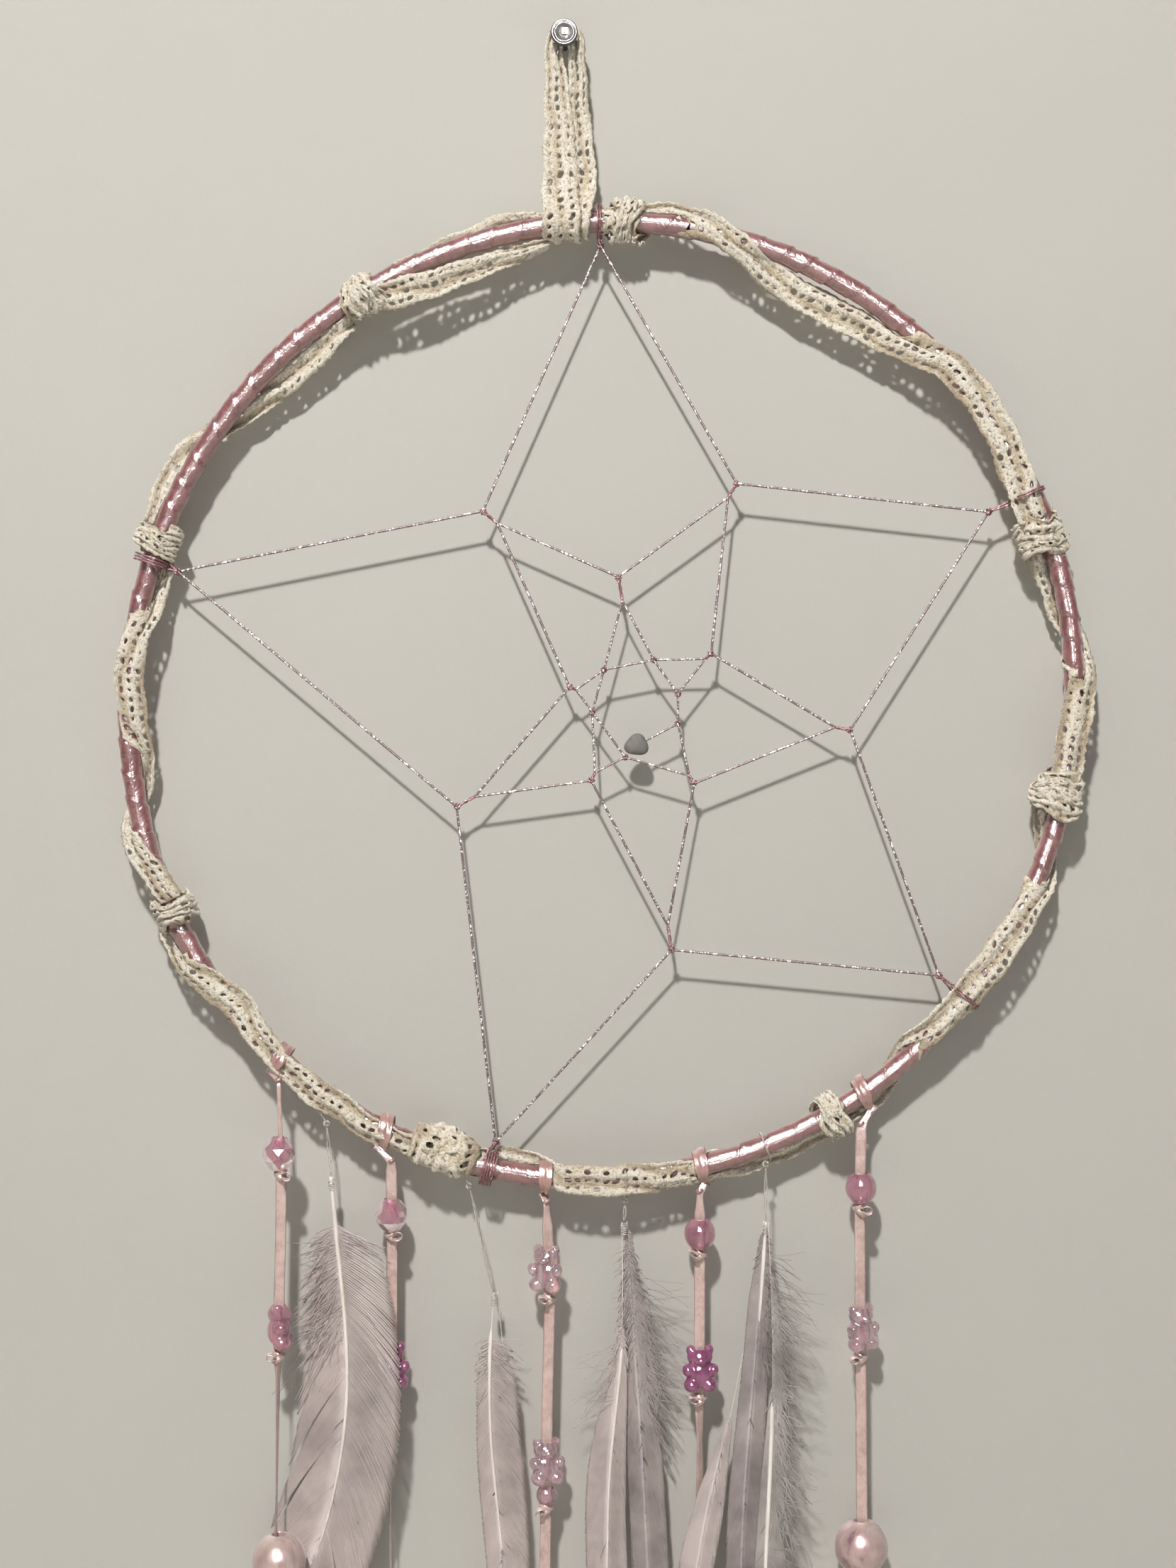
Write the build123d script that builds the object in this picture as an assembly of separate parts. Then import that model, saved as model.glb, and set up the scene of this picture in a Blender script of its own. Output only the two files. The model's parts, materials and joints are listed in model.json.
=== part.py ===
"""A ribbon and lace wrapped dream catcher that hangs from a wall pin.

Millimetres. The origin is where the pin's axis meets the wall: +Z is up, +X is to the right and -Y
points out of the wall, towards the viewer. Angles round the hoop run clockwise from its top.
"""

import os
from math import cos, radians, sin, sqrt

from build123d import *

# wall pin
PIN_EMBED = 12.0
PIN_POINT = 2.5
PIN_R = 1.2
PIN_NECK_R = 1.4
PIN_HEAD_R = 3.9
PIN_HEAD_BACK_Y = -10.6
PIN_HEAD_THICK = 2.4
PIN_CAP_R = 2.9
PIN_CAP_THICK = 1.0

# hoop: a ring bent slightly out of round, built from four tangent arcs
HOOP_X = 11.6
HOOP_Z = -208.0
HOOP_Y = -8.0
HOOP_LONG = 151.0
HOOP_SHORT = 147.3
HOOP_LONG_ANGLE = 32.5
CORE_R = 2.5
SATIN_R = 3.25
LACE_IN = 3.32
LACE_OUT = 4.8
KNOT_OUT = 6.5
RING_IN = 4.85
HITCH_OUT = 5.6
TIE_OUT = 5.7

# hanging loop
LOOP_TOP_Z = 2.6
LOOP_FOOT_ANGLE = -4.2
LOOP_FOOT_SPAN = 5.8
LOOP_FOOT_IN = 5.2
LOOP_FOOT_OUT = 6.8
LOOP_THICK = 3.2

# web thread
THREAD_R = 0.4
WEB_KNOT_R = 1.0
JOIN_GAP = 0.1

# ribbons and beads
RIBBON_WIDE = 3.7
RIBBON_THICK = 0.5
TOP_KNOT_R = 1.7
STOP_KNOT_R = 2.8
BORE_R = 2.1
ROUND_R = 4.8
SMALL_R = 3.2
PEARL_R = 8.5
BEAR_SIZE = (10.2, 7.6, 14.9)
PIECE_GAP = 0.15
TAIL_LENGTH = 6.0

# feather drops
DROP_THREAD_R = 0.35
DROP_KNOT_R = 1.1
VANE_THICK = 0.6
QUILL_R = 0.7

# strand: hoop angle of its tie, x, y, and its beads from the top as (name, kind, z)
STRANDS = {
    1: (221.4, -88.6, -14.5, [("faceted_bead_1", "round", -348.9), ("bear_bead_1", "bear_side", -402.2),
                              ("pearl_1", "pearl", -475.1)]),
    2: (206.2, -54.2, -9.0, [("faceted_bead_2", "round", -369.1), ("bear_bead_2", "bear", -416.2),
                             ("pearl_2", "pearl", -508.0)]),
    3: (186.3, -5.6, -10.0, [("upper_bear_bead_3", "bear", -385.6), ("lower_bear_bead_3", "bear", -445.8),
                             ("small_bead_3", "small", -456.2), ("pearl_3", "pearl", -521.0)]),
    4: (168.5, 42.4, -9.0, [("round_bead_4", "round", -374.9), ("bear_bead_4", "bear", -417.1),
                            ("pearl_4", "pearl", -520.0)]),
    5: (148.1, 92.7, -10.0, [("round_bead_5", "round", -360.4), ("bear_bead_5", "bear", -404.0),
                             ("pearl_5", "pearl", -472.4)]),
}
HALF_HEIGHT = {"round": sqrt(ROUND_R**2 - BORE_R**2), "small": sqrt(SMALL_R**2 - BORE_R**2),
               "pearl": sqrt(PEARL_R**2 - BORE_R**2), "bear": BEAR_SIZE[2] / 2, "bear_side": BEAR_SIZE[2] / 2}

# drop: hoop angle of its hitch, x and y of its pivot, lower end (x, y, z) of its thread
DROPS = {
    1: (215.3, -74.4, -9.4, (-72.9, -9.6, -357.0)),
    2: (196.1, -29.8, -9.0, (-22.0, -9.0, -393.0)),
    3: (177.1, 19.1, -9.0, (18.7, -9.0, -371.0)),
    4: (160.0, 62.7, -13.0, (62.7, -13.3, -370.0)),
}

# web nodes as (x, z): outer anchors, then each round inwards
ANCHORS = [(11.3, -65.4), (133.0, -148.9), (117.4, -294.2), (-21.6, -346.5), (-121.2, -167.6)]
ROUND_1 = [(-25.6, -148.7), (54.0, -140.0), (89.6, -217.3), (33.6, -286.2), (-33.8, -241.3)]
ROUND_2 = [(17.5, -173.0), (46.0, -193.3), (40.7, -234.0), (8.4, -233.1), (1.6, -203.8)]
INNER = {"p1": (12.4, -198.4), "p2": (28.0, -195.3), "q5": (8.7, -211.6), "q2": (35.6, -206.0),
         "r2": (35.6, -215.3), "c": (19.1, -225.8)}
CHARM = (22.7, -222.0)


def hoop_at(angle):
    """Centre line point where the hoop faces an angle clockwise from its top."""
    turn = radians(angle - HOOP_LONG_ANGLE)
    shift = (HOOP_LONG - HOOP_SHORT) / (2 - sqrt(2))
    along, across = cos(turn), sin(turn)
    if abs(along) >= abs(across):
        local = (shift if along > 0 else -shift, 0.0)
        radius = HOOP_LONG - shift
    else:
        local = (0.0, -shift if across > 0 else shift)
        radius = HOOP_SHORT + shift
    u, v = local[0] + radius * along, local[1] + radius * across
    lean = radians(HOOP_LONG_ANGLE)
    x = HOOP_X + u * sin(lean) + v * cos(lean)
    z = HOOP_Z + u * cos(lean) - v * sin(lean)
    return Vector(x, HOOP_Y, z)


def hoop_path(start, end):
    """The centre line from one angle to another, as tangent arcs."""
    joins = [HOOP_LONG_ANGLE + 45 + 90 * k for k in range(-6, 7)]
    stops = [start] + [a for a in joins if start < a < end] + [end]
    arcs = []
    for a, b in zip(stops, stops[1:]):
        arcs.append(ThreePointArc(hoop_at(a), hoop_at((a + b) / 2), hoop_at(b)))
    return arcs


def sleeve(start, end, outer, inner):
    """A tube round the hoop's centre line between two angles."""
    whole = None
    for arc in hoop_path(start, end):
        plane = Plane(arc @ 0, z_dir=arc % 0)
        ring = plane * Circle(outer)
        if inner > 0:
            ring = ring - plane * Circle(inner)
        run = sweep(ring, path=arc)
        whole = run if whole is None else whole + run
    return whole


def full_ring(outer, inner):
    """A tube all the way round the hoop, in two halves that are fused."""
    first = HOOP_LONG_ANGLE + 45
    return sleeve(first, first + 180, outer, inner) + sleeve(first + 180, first + 360, outer, inner)


def rod(a, b, radius):
    """A round bar from point a to point b."""
    a, b = Vector(*a), Vector(*b)
    along = b - a
    return Plane(a, z_dir=along) * Cylinder(radius, along.length, align=(Align.CENTER, Align.CENTER, Align.MIN))


def ball(centre, radius):
    return Pos(*centre) * Sphere(radius)


def thread_runs(runs, trim):
    """Straight web threads between pairs of (x, z) points, trimmed clear of the knots at their ends."""
    rods = []
    for (x0, z0), (x1, z1) in runs:
        a, b = Vector(x0, HOOP_Y, z0), Vector(x1, HOOP_Y, z1)
        along = (b - a).normalized()
        rods.append(rod(a + along * trim, b - along * trim, THREAD_R))
    return rods


def web_knots(points):
    return [ball((x, HOOP_Y, z), WEB_KNOT_R) for x, z in points]


def spline_plate(points, y, thick):
    """A thin plate in a plane facing the viewer, with a smooth closed outline through (x, z) points."""
    edge = Spline([Vector(x, 0, z) for x, z in points], periodic=True)
    face = make_face(edge)
    plate = extrude(face, amount=thick / 2, both=True, dir=(0, 1, 0))
    return Pos(0, y, 0) * plate


def feather(outline, quill_top, quill_low, y):
    """A feather: a flat vane and the bare quill above it."""
    vane = spline_plate(outline, y, VANE_THICK)
    quill = rod((quill_top[0], y, quill_top[1]), (quill_low[0], y, quill_low[1]), QUILL_R)
    return vane + quill


def bead(kind, x, y, z):
    """One bored bead, its bore along Z."""
    if kind in ("bear", "bear_side"):
        wide, deep, tall = BEAR_SIZE
        side = extrude(Plane.XZ * RectangleRounded(wide, tall, 3.2), amount=deep / 2, both=True)
        rims = side.edges().filter_by_position(Axis.Y, deep / 2, deep / 2)
        rims += side.edges().filter_by_position(Axis.Y, -deep / 2, -deep / 2)
        body = fillet(rims, 1.6)
        if kind == "bear_side":
            body = Rot(0, 0, 90) * body
    else:
        body = Sphere({"round": ROUND_R, "small": SMALL_R, "pearl": PEARL_R}[kind])
    return Pos(x, y, z) * (body - Cylinder(BORE_R, 60))


def knot_below(kind, z):
    """Height of the stop knot's centre under a bead that rests on it."""
    seat = sqrt(STOP_KNOT_R**2 - BORE_R**2)
    return z - HALF_HEIGHT[kind] - seat - PIECE_GAP


def pivot_of(angle, y, ring_out, knot_r):
    """Height of a pivot knot that hangs against the underside or front of a ring on the hoop."""
    centre = hoop_at(angle)
    reach = ring_out + knot_r + PIECE_GAP
    return centre.Z - sqrt(reach**2 - (y - HOOP_Y) ** 2) / abs(cos(radians(angle)))


parts = {}

# wall pin
shank = rod((0, 0, 0), (0, PIN_EMBED - PIN_POINT, 0), PIN_R)
point = Plane((0, PIN_EMBED - PIN_POINT, 0), z_dir=(0, 1, 0)) * Cone(
    PIN_R, 0.15, PIN_POINT, align=(Align.CENTER, Align.CENTER, Align.MIN))
neck = rod((0, 0, 0), (0, PIN_HEAD_BACK_Y, 0), PIN_NECK_R)
head = rod((0, PIN_HEAD_BACK_Y, 0), (0, PIN_HEAD_BACK_Y - PIN_HEAD_THICK, 0), PIN_HEAD_R)
head_front_y = PIN_HEAD_BACK_Y - PIN_HEAD_THICK
dish = rod((0, head_front_y + PIN_CAP_THICK, 0), (0, head_front_y, 0), PIN_CAP_R + 0.02)
parts["wall_pin"] = shank + point + neck + head - dish
parts["pin_cap"] = rod((0, head_front_y + PIN_CAP_THICK - 0.02, 0), (0, head_front_y, 0), PIN_CAP_R)

# hanging loop and the part of it that wraps the hoop
foot_centre = hoop_at(LOOP_FOOT_ANGLE)
foot_tangent = Vector(cos(radians(LOOP_FOOT_ANGLE)), 0, -sin(radians(LOOP_FOOT_ANGLE)))
foot_half = LOOP_FOOT_SPAN / 2 * radians(1) * HOOP_LONG
foot_low = foot_centre - foot_tangent * foot_half
foot_high = foot_centre + foot_tangent * foot_half
parts["loop_foot"] = rod(tuple(foot_low), tuple(foot_high), LOOP_FOOT_OUT) - rod(
    tuple(foot_low - foot_tangent), tuple(foot_high + foot_tangent), LOOP_FOOT_IN)
loop_bottom_z = foot_centre.Z + LOOP_FOOT_OUT + 0.7
outline = Polyline((-5.6, -3.0), (-6.5, loop_bottom_z), (8.0, loop_bottom_z), (6.2, -3.0))
crown = ThreePointArc((6.2, -3.0), (0.3, LOOP_TOP_Z), (-5.6, -3.0))
strap = extrude(Plane.XZ * make_face(outline + crown), amount=LOOP_THICK / 2, both=True)
slit = extrude(Plane.XZ * (Pos(0, -3.4) * RectangleRounded(3.2, 10.0, 1.59)), amount=LOOP_THICK, both=True)
parts["hanging_loop"] = Pos(0, HOOP_Y, 0) * (strap - slit)

# hoop core and its satin wrap
parts["hoop_core"] = full_ring(CORE_R, 0)
parts["satin_wrap"] = full_ring(SATIN_R, CORE_R + 0.02)

# lace wound round the hoop, knotted eight times
LACE_KNOTS = [(1.0, 5.2), (66.4, 70.4), (99.0, 103.6), (149.6, 152.4),
              (196.8, 203.4), (243.2, 246.6), (288.3, 292.1), (326.5, 331.1)]
lace_runs = []
for (_, start), (end, _) in zip(LACE_KNOTS, LACE_KNOTS[1:] + [(LACE_KNOTS[0][0] + 360, 0)]):
    lace_runs.append(sleeve(start + 0.05, end - 0.05, LACE_OUT, LACE_IN))
parts["lace_wrap_right"] = Compound(lace_runs[0:3])
parts["lace_wrap_bottom"] = lace_runs[3]
parts["lace_wrap_left"] = Compound(lace_runs[4:8])
parts["lace_knots"] = Compound([sleeve(a, b, KNOT_OUT, LACE_IN) for a, b in LACE_KNOTS])

# loose lace end under the hoop, left of the loop
tail_face = make_face(
    Polyline((-42.6, -84.5), (-45.0, -78.8), (-26.0, -69.8), (-6.6, -65.3), (-7.4, -71.0), (-24.5, -76.6),
             (-42.6, -84.5)))
parts["lace_tail"] = Pos(0, HOOP_Y, 0) * extrude(Plane.XZ * tail_face, amount=0.6, both=True)

# web thread, one node for each round, and its hitches on the hoop
knot_trim = WEB_KNOT_R + JOIN_GAP
outer_runs = []
for i in range(5):
    outer_runs.append((ANCHORS[i], ROUND_1[(i + 1) % 5]))
    outer_runs.append((ANCHORS[i], ROUND_1[i]))
parts["web_round_1"] = Compound(thread_runs(outer_runs, knot_trim) + web_knots(ROUND_1))
second_runs = []
for i in range(5):
    second_runs.append((ROUND_1[i], ROUND_2[i]))
    second_runs.append((ROUND_1[(i + 1) % 5], ROUND_2[i]))
parts["web_round_2"] = Compound(thread_runs(second_runs, knot_trim) + web_knots(ROUND_2))
m1, m2, m3, m4, m5 = ROUND_2
p1, p2, q5, q2, r2, c = (INNER[k] for k in ("p1", "p2", "q5", "q2", "r2", "c"))
inner_runs = [(m1, p1), (m1, p2), (m5, p1), (p1, p2), (p2, m2), (p1, q5), (m5, q5), (p2, q2), (m2, q2),
              (q2, r2), (q5, m4), (q5, c), (c, m4), (c, m3), (r2, m3)]
charm_line = (Vector(CHARM[0], 0, CHARM[1]) - Vector(r2[0], 0, r2[1])).normalized()
charm_centre = Vector(CHARM[0], HOOP_Y, CHARM[1])
thread_end = rod(tuple(Vector(r2[0], HOOP_Y, r2[1]) + charm_line * knot_trim),
                 tuple(charm_centre + charm_line * 1.5), THREAD_R)
parts["web_round_3"] = Compound(thread_runs(inner_runs, knot_trim) + web_knots(INNER.values()) + [thread_end])

# stone charm, turning on the end of the web thread
charm_outline = Spline([Vector(CHARM[0] + x, 0, CHARM[1] + z) for x, z in
                        ((-3.7, -1.6), (-2.6, 1.2), (-0.4, 3.1), (2.4, 2.9), (3.6, 0.8), (2.6, -2.4), (-0.6, -3.3))],
                       periodic=True)
charm_body = Pos(0, HOOP_Y, 0) * extrude(make_face(charm_outline), amount=1.4, both=True, dir=(0, 1, 0))
charm_bore = rod(tuple(charm_centre - charm_line * 9), tuple(charm_centre + charm_line * 9), 0.6)
parts["stone_charm"] = charm_body - charm_bore

HITCHES = [(-0.35, 0.5), (64.3, 0.5), (129.3, 0.6), (193.4, 0.7), (287.4, 0.5)]
parts["web_hitches"] = Compound([sleeve(a - h, a + h, HITCH_OUT, RING_IN) for a, h in HITCHES])

# ribbon strands
ties = []
for number, (angle, x, y, beads) in STRANDS.items():
    ties.append(sleeve(angle - 0.75, angle + 0.75, TIE_OUT, RING_IN))
    top_z = pivot_of(angle, y, TIE_OUT, TOP_KNOT_R)
    parts[f"ribbon_knot_{number}"] = ball((x, y, top_z), TOP_KNOT_R)
    knots = []
    for i, (name, kind, z) in enumerate(beads):
        parts[name] = bead(kind, x, y, z)
        is_stacked = i + 1 < len(beads) and beads[i + 1][1] == "small"
        if not is_stacked:
            knots.append(knot_below(kind, z))
    start = top_z - TOP_KNOT_R - PIECE_GAP
    end = knots[-1] - TAIL_LENGTH
    band = Pos(x, y, (start + end) / 2) * Box(RIBBON_WIDE, RIBBON_THICK, start - end)
    for z in knots:
        band += ball((x, y, z), STOP_KNOT_R)
    parts[f"ribbon_{number}"] = band
    print(f"ribbon {number}: pivot z {top_z:.2f}, length {start - end:.1f}, knots {[round(k, 1) for k in knots]}")
parts["ribbon_ties"] = Compound(ties)

# feather drops
thread_hitches = []
for number, (angle, x, y, low) in DROPS.items():
    thread_hitches.append(sleeve(angle - 0.3, angle + 0.3, HITCH_OUT, RING_IN))
    top_z = pivot_of(angle, y, HITCH_OUT, DROP_KNOT_R)
    pivot = Vector(x, y, top_z)
    parts[f"thread_knot_{number}"] = ball(tuple(pivot), DROP_KNOT_R)
    along = (Vector(*low) - pivot).normalized()
    start = pivot + along * (DROP_KNOT_R + PIECE_GAP)
    parts[f"feather_thread_{number}"] = rod(tuple(start), low, DROP_THREAD_R)
    print(f"drop {number}: pivot z {top_z:.2f}, thread {(Vector(*low) - start).length:.1f}")
parts["thread_hitches"] = Compound(thread_hitches)

# drop 1 hangs turned about its quill, between two ribbon strands
FEATHER_1_TURN = -17.2
quill_x, quill_y = DROPS[1][3][0], DROPS[1][3][1]
turned = cos(radians(FEATHER_1_TURN))
outline_1 = [(-70.2, -374.5), (-80.5, -383.0), (-88.0, -400.0), (-90.0, -425.0), (-93.5, -452.0), (-98.2, -472.0),
             (-96.5, -490.0), (-88.0, -505.0), (-74.0, -498.0), (-60.0, -482.0), (-54.0, -457.0), (-51.8, -430.0),
             (-52.6, -405.0), (-57.0, -387.0)]
flat_1 = [(quill_x + (px - quill_x) / turned, z) for px, z in outline_1]
feather_1 = feather(flat_1, (quill_x, -357.3), (quill_x + 1.5, -378.0), 0)
parts["feather_1"] = Pos(quill_x, quill_y, 0) * Rot(0, 0, FEATHER_1_TURN) * Pos(-quill_x, 0, 0) * feather_1

parts["feather_2a"] = feather(
    [(-21.5, -410.0), (-26.0, -425.0), (-26.8, -460.0), (-25.0, -490.0), (-20.0, -506.0), (-15.5, -492.0),
     (-13.0, -460.0), (-13.4, -430.0), (-16.5, -415.0)],
    (-22.0, -393.4), (-21.6, -414.0), -9.5)
parts["feather_2b"] = feather(
    [(-12.6, -455.0), (-17.5, -470.0), (-19.0, -495.0), (-16.8, -511.0), (-13.0, -498.0), (-11.6, -475.0)],
    (-21.0, -393.4), (-13.2, -460.0), -8.1)
parts["feather_3a"] = feather(
    [(17.0, -412.0), (11.0, -432.0), (7.6, -465.0), (8.0, -495.0), (13.0, -512.0), (20.0, -500.0), (23.5, -465.0),
     (22.0, -425.0)],
    (18.0, -371.4), (16.8, -430.0), -9.7)
parts["feather_3b"] = feather(
    [(19.5, -376.0), (17.0, -400.0), (20.0, -450.0), (23.0, -488.0), (27.5, -508.0), (32.0, -490.0), (32.6, -450.0),
     (28.0, -405.0), (23.5, -384.0)],
    (19.6, -371.4), (21.4, -396.0), -8.3)
parts["feather_4a"] = feather(
    [(62.0, -376.0), (57.5, -392.0), (54.0, -425.0), (50.5, -465.0), (50.5, -492.0), (55.0, -506.0), (60.0, -490.0),
     (63.5, -450.0), (65.6, -410.0), (65.5, -386.0)],
    (62.7, -370.4), (62.0, -379.0), -13.3)
parts["feather_4b"] = feather(
    [(65.5, -400.0), (63.0, -430.0), (60.0, -470.0), (58.0, -500.0), (63.0, -514.0), (69.5, -500.0), (72.0, -460.0),
     (70.0, -420.0)],
    (63.4, -370.4), (64.8, -404.0), -14.8)
parts["feather_4c"] = feather(
    [(52.5, -438.0), (43.0, -452.0), (36.0, -472.0), (34.5, -488.0), (40.0, -495.0), (47.0, -486.0), (52.0, -465.0)],
    (62.2, -370.4), (51.5, -442.0), -11.8)

os.makedirs("parts", exist_ok=True)
for name, shape in parts.items():
    export_step(shape, f"parts/{name}.step")
print(f"{len(parts)} nodes")
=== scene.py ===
import json
import random
from math import atan2, cos, floor, pi, radians, sin, sqrt

import bpy
import numpy as np
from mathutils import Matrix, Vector


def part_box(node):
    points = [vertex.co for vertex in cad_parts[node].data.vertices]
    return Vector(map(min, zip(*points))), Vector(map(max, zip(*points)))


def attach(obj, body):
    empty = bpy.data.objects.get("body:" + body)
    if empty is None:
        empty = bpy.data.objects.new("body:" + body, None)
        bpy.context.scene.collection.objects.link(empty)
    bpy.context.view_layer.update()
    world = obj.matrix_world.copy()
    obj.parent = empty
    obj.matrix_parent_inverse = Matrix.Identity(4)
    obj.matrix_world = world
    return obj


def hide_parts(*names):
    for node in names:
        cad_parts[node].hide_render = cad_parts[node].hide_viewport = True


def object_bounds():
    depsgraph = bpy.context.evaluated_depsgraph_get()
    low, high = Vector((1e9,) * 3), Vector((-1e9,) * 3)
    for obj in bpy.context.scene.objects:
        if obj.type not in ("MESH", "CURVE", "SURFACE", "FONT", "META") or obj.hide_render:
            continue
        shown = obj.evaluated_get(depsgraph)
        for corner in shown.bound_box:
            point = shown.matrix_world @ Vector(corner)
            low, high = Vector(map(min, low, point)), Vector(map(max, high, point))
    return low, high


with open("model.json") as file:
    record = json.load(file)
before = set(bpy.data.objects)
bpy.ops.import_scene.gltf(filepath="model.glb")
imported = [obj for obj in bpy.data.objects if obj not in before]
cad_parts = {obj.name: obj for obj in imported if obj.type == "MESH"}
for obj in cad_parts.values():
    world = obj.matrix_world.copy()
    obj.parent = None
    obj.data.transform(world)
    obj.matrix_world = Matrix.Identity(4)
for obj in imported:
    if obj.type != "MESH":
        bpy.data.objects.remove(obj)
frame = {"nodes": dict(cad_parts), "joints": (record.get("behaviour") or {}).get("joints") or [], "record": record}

CAD_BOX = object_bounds()
MM = 0.001
SCENE = bpy.context.scene
TOWARDS = np.array([0.0, -1.0, 0.0])

# the hoop's centre line in millimetres, as in the frame: a ring slightly out of round, whose long half width
# lies at HOOP_LONG_ANGLE. Hoop angles are in degrees, from the top and clockwise.
HOOP_Y = -8.0
HOOP_X, HOOP_Z = 11.6, -208.0
HOOP_LONG, HOOP_SHORT, HOOP_LONG_ANGLE = 151.0, 147.3, 32.5
# radii of the wire core and of the satin wound on it
CORE_R, SATIN_R = 2.5, 3.25
# where the hanging loop goes under the hoop
LOOP_FOOT_ANGLE = -5.65

# ---------------------------------------------------------------- helpers


def unit(v):
    """The vector or vectors brought to length 1."""
    v = np.asarray(v, float)
    return v / np.maximum(np.linalg.norm(v, axis=-1, keepdims=True), 1e-12)


def hoop_at(angle):
    """Centre line point, outward direction and clockwise direction where the hoop faces angle."""
    turn = radians(angle - HOOP_LONG_ANGLE)
    shift = (HOOP_LONG - HOOP_SHORT) / (2 - sqrt(2))
    along, across = cos(turn), sin(turn)
    if abs(along) >= abs(across):
        u, v = (shift if along > 0 else -shift), 0.0
        radius = HOOP_LONG - shift
    else:
        u, v = 0.0, (-shift if across > 0 else shift)
        radius = HOOP_SHORT + shift
    u, v = u + radius * along, v + radius * across
    lean = radians(HOOP_LONG_ANGLE)
    x, z = u * sin(lean) + v * cos(lean), u * cos(lean) - v * sin(lean)
    centre = np.array([HOOP_X + x, HOOP_Y, HOOP_Z + z])
    out = np.array([sin(radians(angle)), 0, cos(radians(angle))])
    clockwise = np.array([cos(radians(angle)), 0, -sin(radians(angle))])
    return centre, out, clockwise


def around_hoop(angle, phi, radius):
    """A point at azimuth phi round the tube: 0 faces the viewer and 90 faces away from the hoop's middle."""
    centre, out, _ = hoop_at(angle)
    return centre + radius * (cos(radians(phi)) * TOWARDS + sin(radians(phi)) * out)


def verts_of(mesh):
    return np.array([v.co[:] for v in mesh.vertices])


def smooth_path(points, resolution):
    """Points along the NURBS spline of order 3 that has these control points, in millimetres."""
    curve = bpy.data.curves.new("route", "CURVE")
    curve.dimensions = "3D"
    curve.resolution_u = resolution
    spline = curve.splines.new("NURBS")
    spline.points.add(len(points) - 1)
    for point, place in zip(spline.points, points):
        point.co = (*place, 1)
    spline.order_u = 3
    spline.use_endpoint_u = True
    holder = in_scene("route", curve)
    mesh = bpy.data.meshes.new_from_object(holder)
    line = verts_of(mesh)
    bpy.data.objects.remove(holder)
    bpy.data.meshes.remove(mesh)
    bpy.data.curves.remove(curve)
    return line


def lengths_of(line):
    """How far along the line each of its points is."""
    steps = np.linalg.norm(np.diff(line, axis=0), axis=1)
    return np.concatenate([[0], np.cumsum(steps)])


def resample(line, step):
    """The same line with points every step or so."""
    s = lengths_of(line)
    count = max(int(round(s[-1] / step)), 2) + 1
    want = np.linspace(0, s[-1], count)
    return np.stack([np.interp(want, s, line[:, k]) for k in range(3)], axis=1)


def tangents(line):
    """The line's direction at each of its points."""
    return unit(np.gradient(line, axis=0))


def across_line(line, start_normal):
    """Normal and binormal at each point of the line, turning as little as possible."""
    tangent = tangents(line)
    normal = np.zeros_like(line)
    n = np.asarray(start_normal, float)
    for i, t in enumerate(tangent):
        n = unit(n - t * np.dot(n, t))
        normal[i] = n
    return normal, np.cross(tangent, normal)


def ring_faces(rows, sides, closed=False, flip=False, base=0):
    """Quads between rings of points. closed joins the last ring to the first; flip turns the quads over."""
    faces = []
    for i in range(rows if closed else rows - 1):
        a, b = base + i * sides, base + (i + 1) % rows * sides
        for k in range(sides):
            m = (k + 1) % sides
            faces.append((a + k, b + k, b + m, a + m) if flip else (a + k, a + m, b + m, b + k))
    return faces


def capped_faces(rows, sides):
    """The quads of an open tube, with a face over each end."""
    ends = [tuple(range(sides - 1, -1, -1)), tuple(range((rows - 1) * sides, rows * sides))]
    return ring_faces(rows, sides) + ends


def sweep(line, section, start_normal):
    """Verts and faces of a tube whose section(i, count) gives (normal, binormal) offsets at each point."""
    normal, binormal = across_line(line, start_normal)
    rings = []
    for i, point in enumerate(line):
        offsets = section(i, len(line))
        rings.append(point + offsets[:, :1] * normal[i] + offsets[:, 1:] * binormal[i])
    return np.concatenate(rings), capped_faces(len(line), len(rings[0]))


def circle_section(sides, radius):
    """A round section; radius is a number or a function of (i, count)."""
    turn = np.linspace(0, 2 * pi, sides, endpoint=False)
    shape = np.stack([np.cos(turn), np.sin(turn)], axis=1)

    def section(i, count):
        return shape * (radius(i, count) if callable(radius) else radius)

    return section


def join(pieces):
    """One (verts, faces) out of several."""
    verts, faces, base = [], [], 0
    for v, f in pieces:
        verts.append(np.asarray(v, float))
        faces += [tuple(base + k for k in face) for face in f]
        base += len(v)
    return np.concatenate(verts), faces


def in_scene(name, data):
    """A new object in the scene with this data."""
    thing = bpy.data.objects.new(name, data)
    SCENE.collection.objects.link(thing)
    return thing


def mesh_object(name, geometry):
    """A mesh object in the scene from (verts in millimetres, faces)."""
    verts, faces = geometry
    mesh = bpy.data.meshes.new(name)
    mesh.from_pydata((np.asarray(verts) * MM).tolist(), [], faces)
    return in_scene(name, mesh)


def add_piece(name, geometry, body, material, replaces=(), smooth=True, lay=None):
    """A piece riding on a body. lay is what its material reads at each point: where on the strip it is."""
    piece = mesh_object(name, geometry)
    mesh = piece.data
    if lay is not None:
        layer = mesh.attributes.new("lay", "FLOAT_VECTOR", "POINT")
        layer.data.foreach_set("vector", np.asarray(lay, np.float32).ravel())
    mesh.update()
    mesh.materials.append(material)
    if smooth:
        mesh.shade_smooth()
    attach(piece, body)
    for node in replaces:
        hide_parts(node)
    return piece


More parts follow.
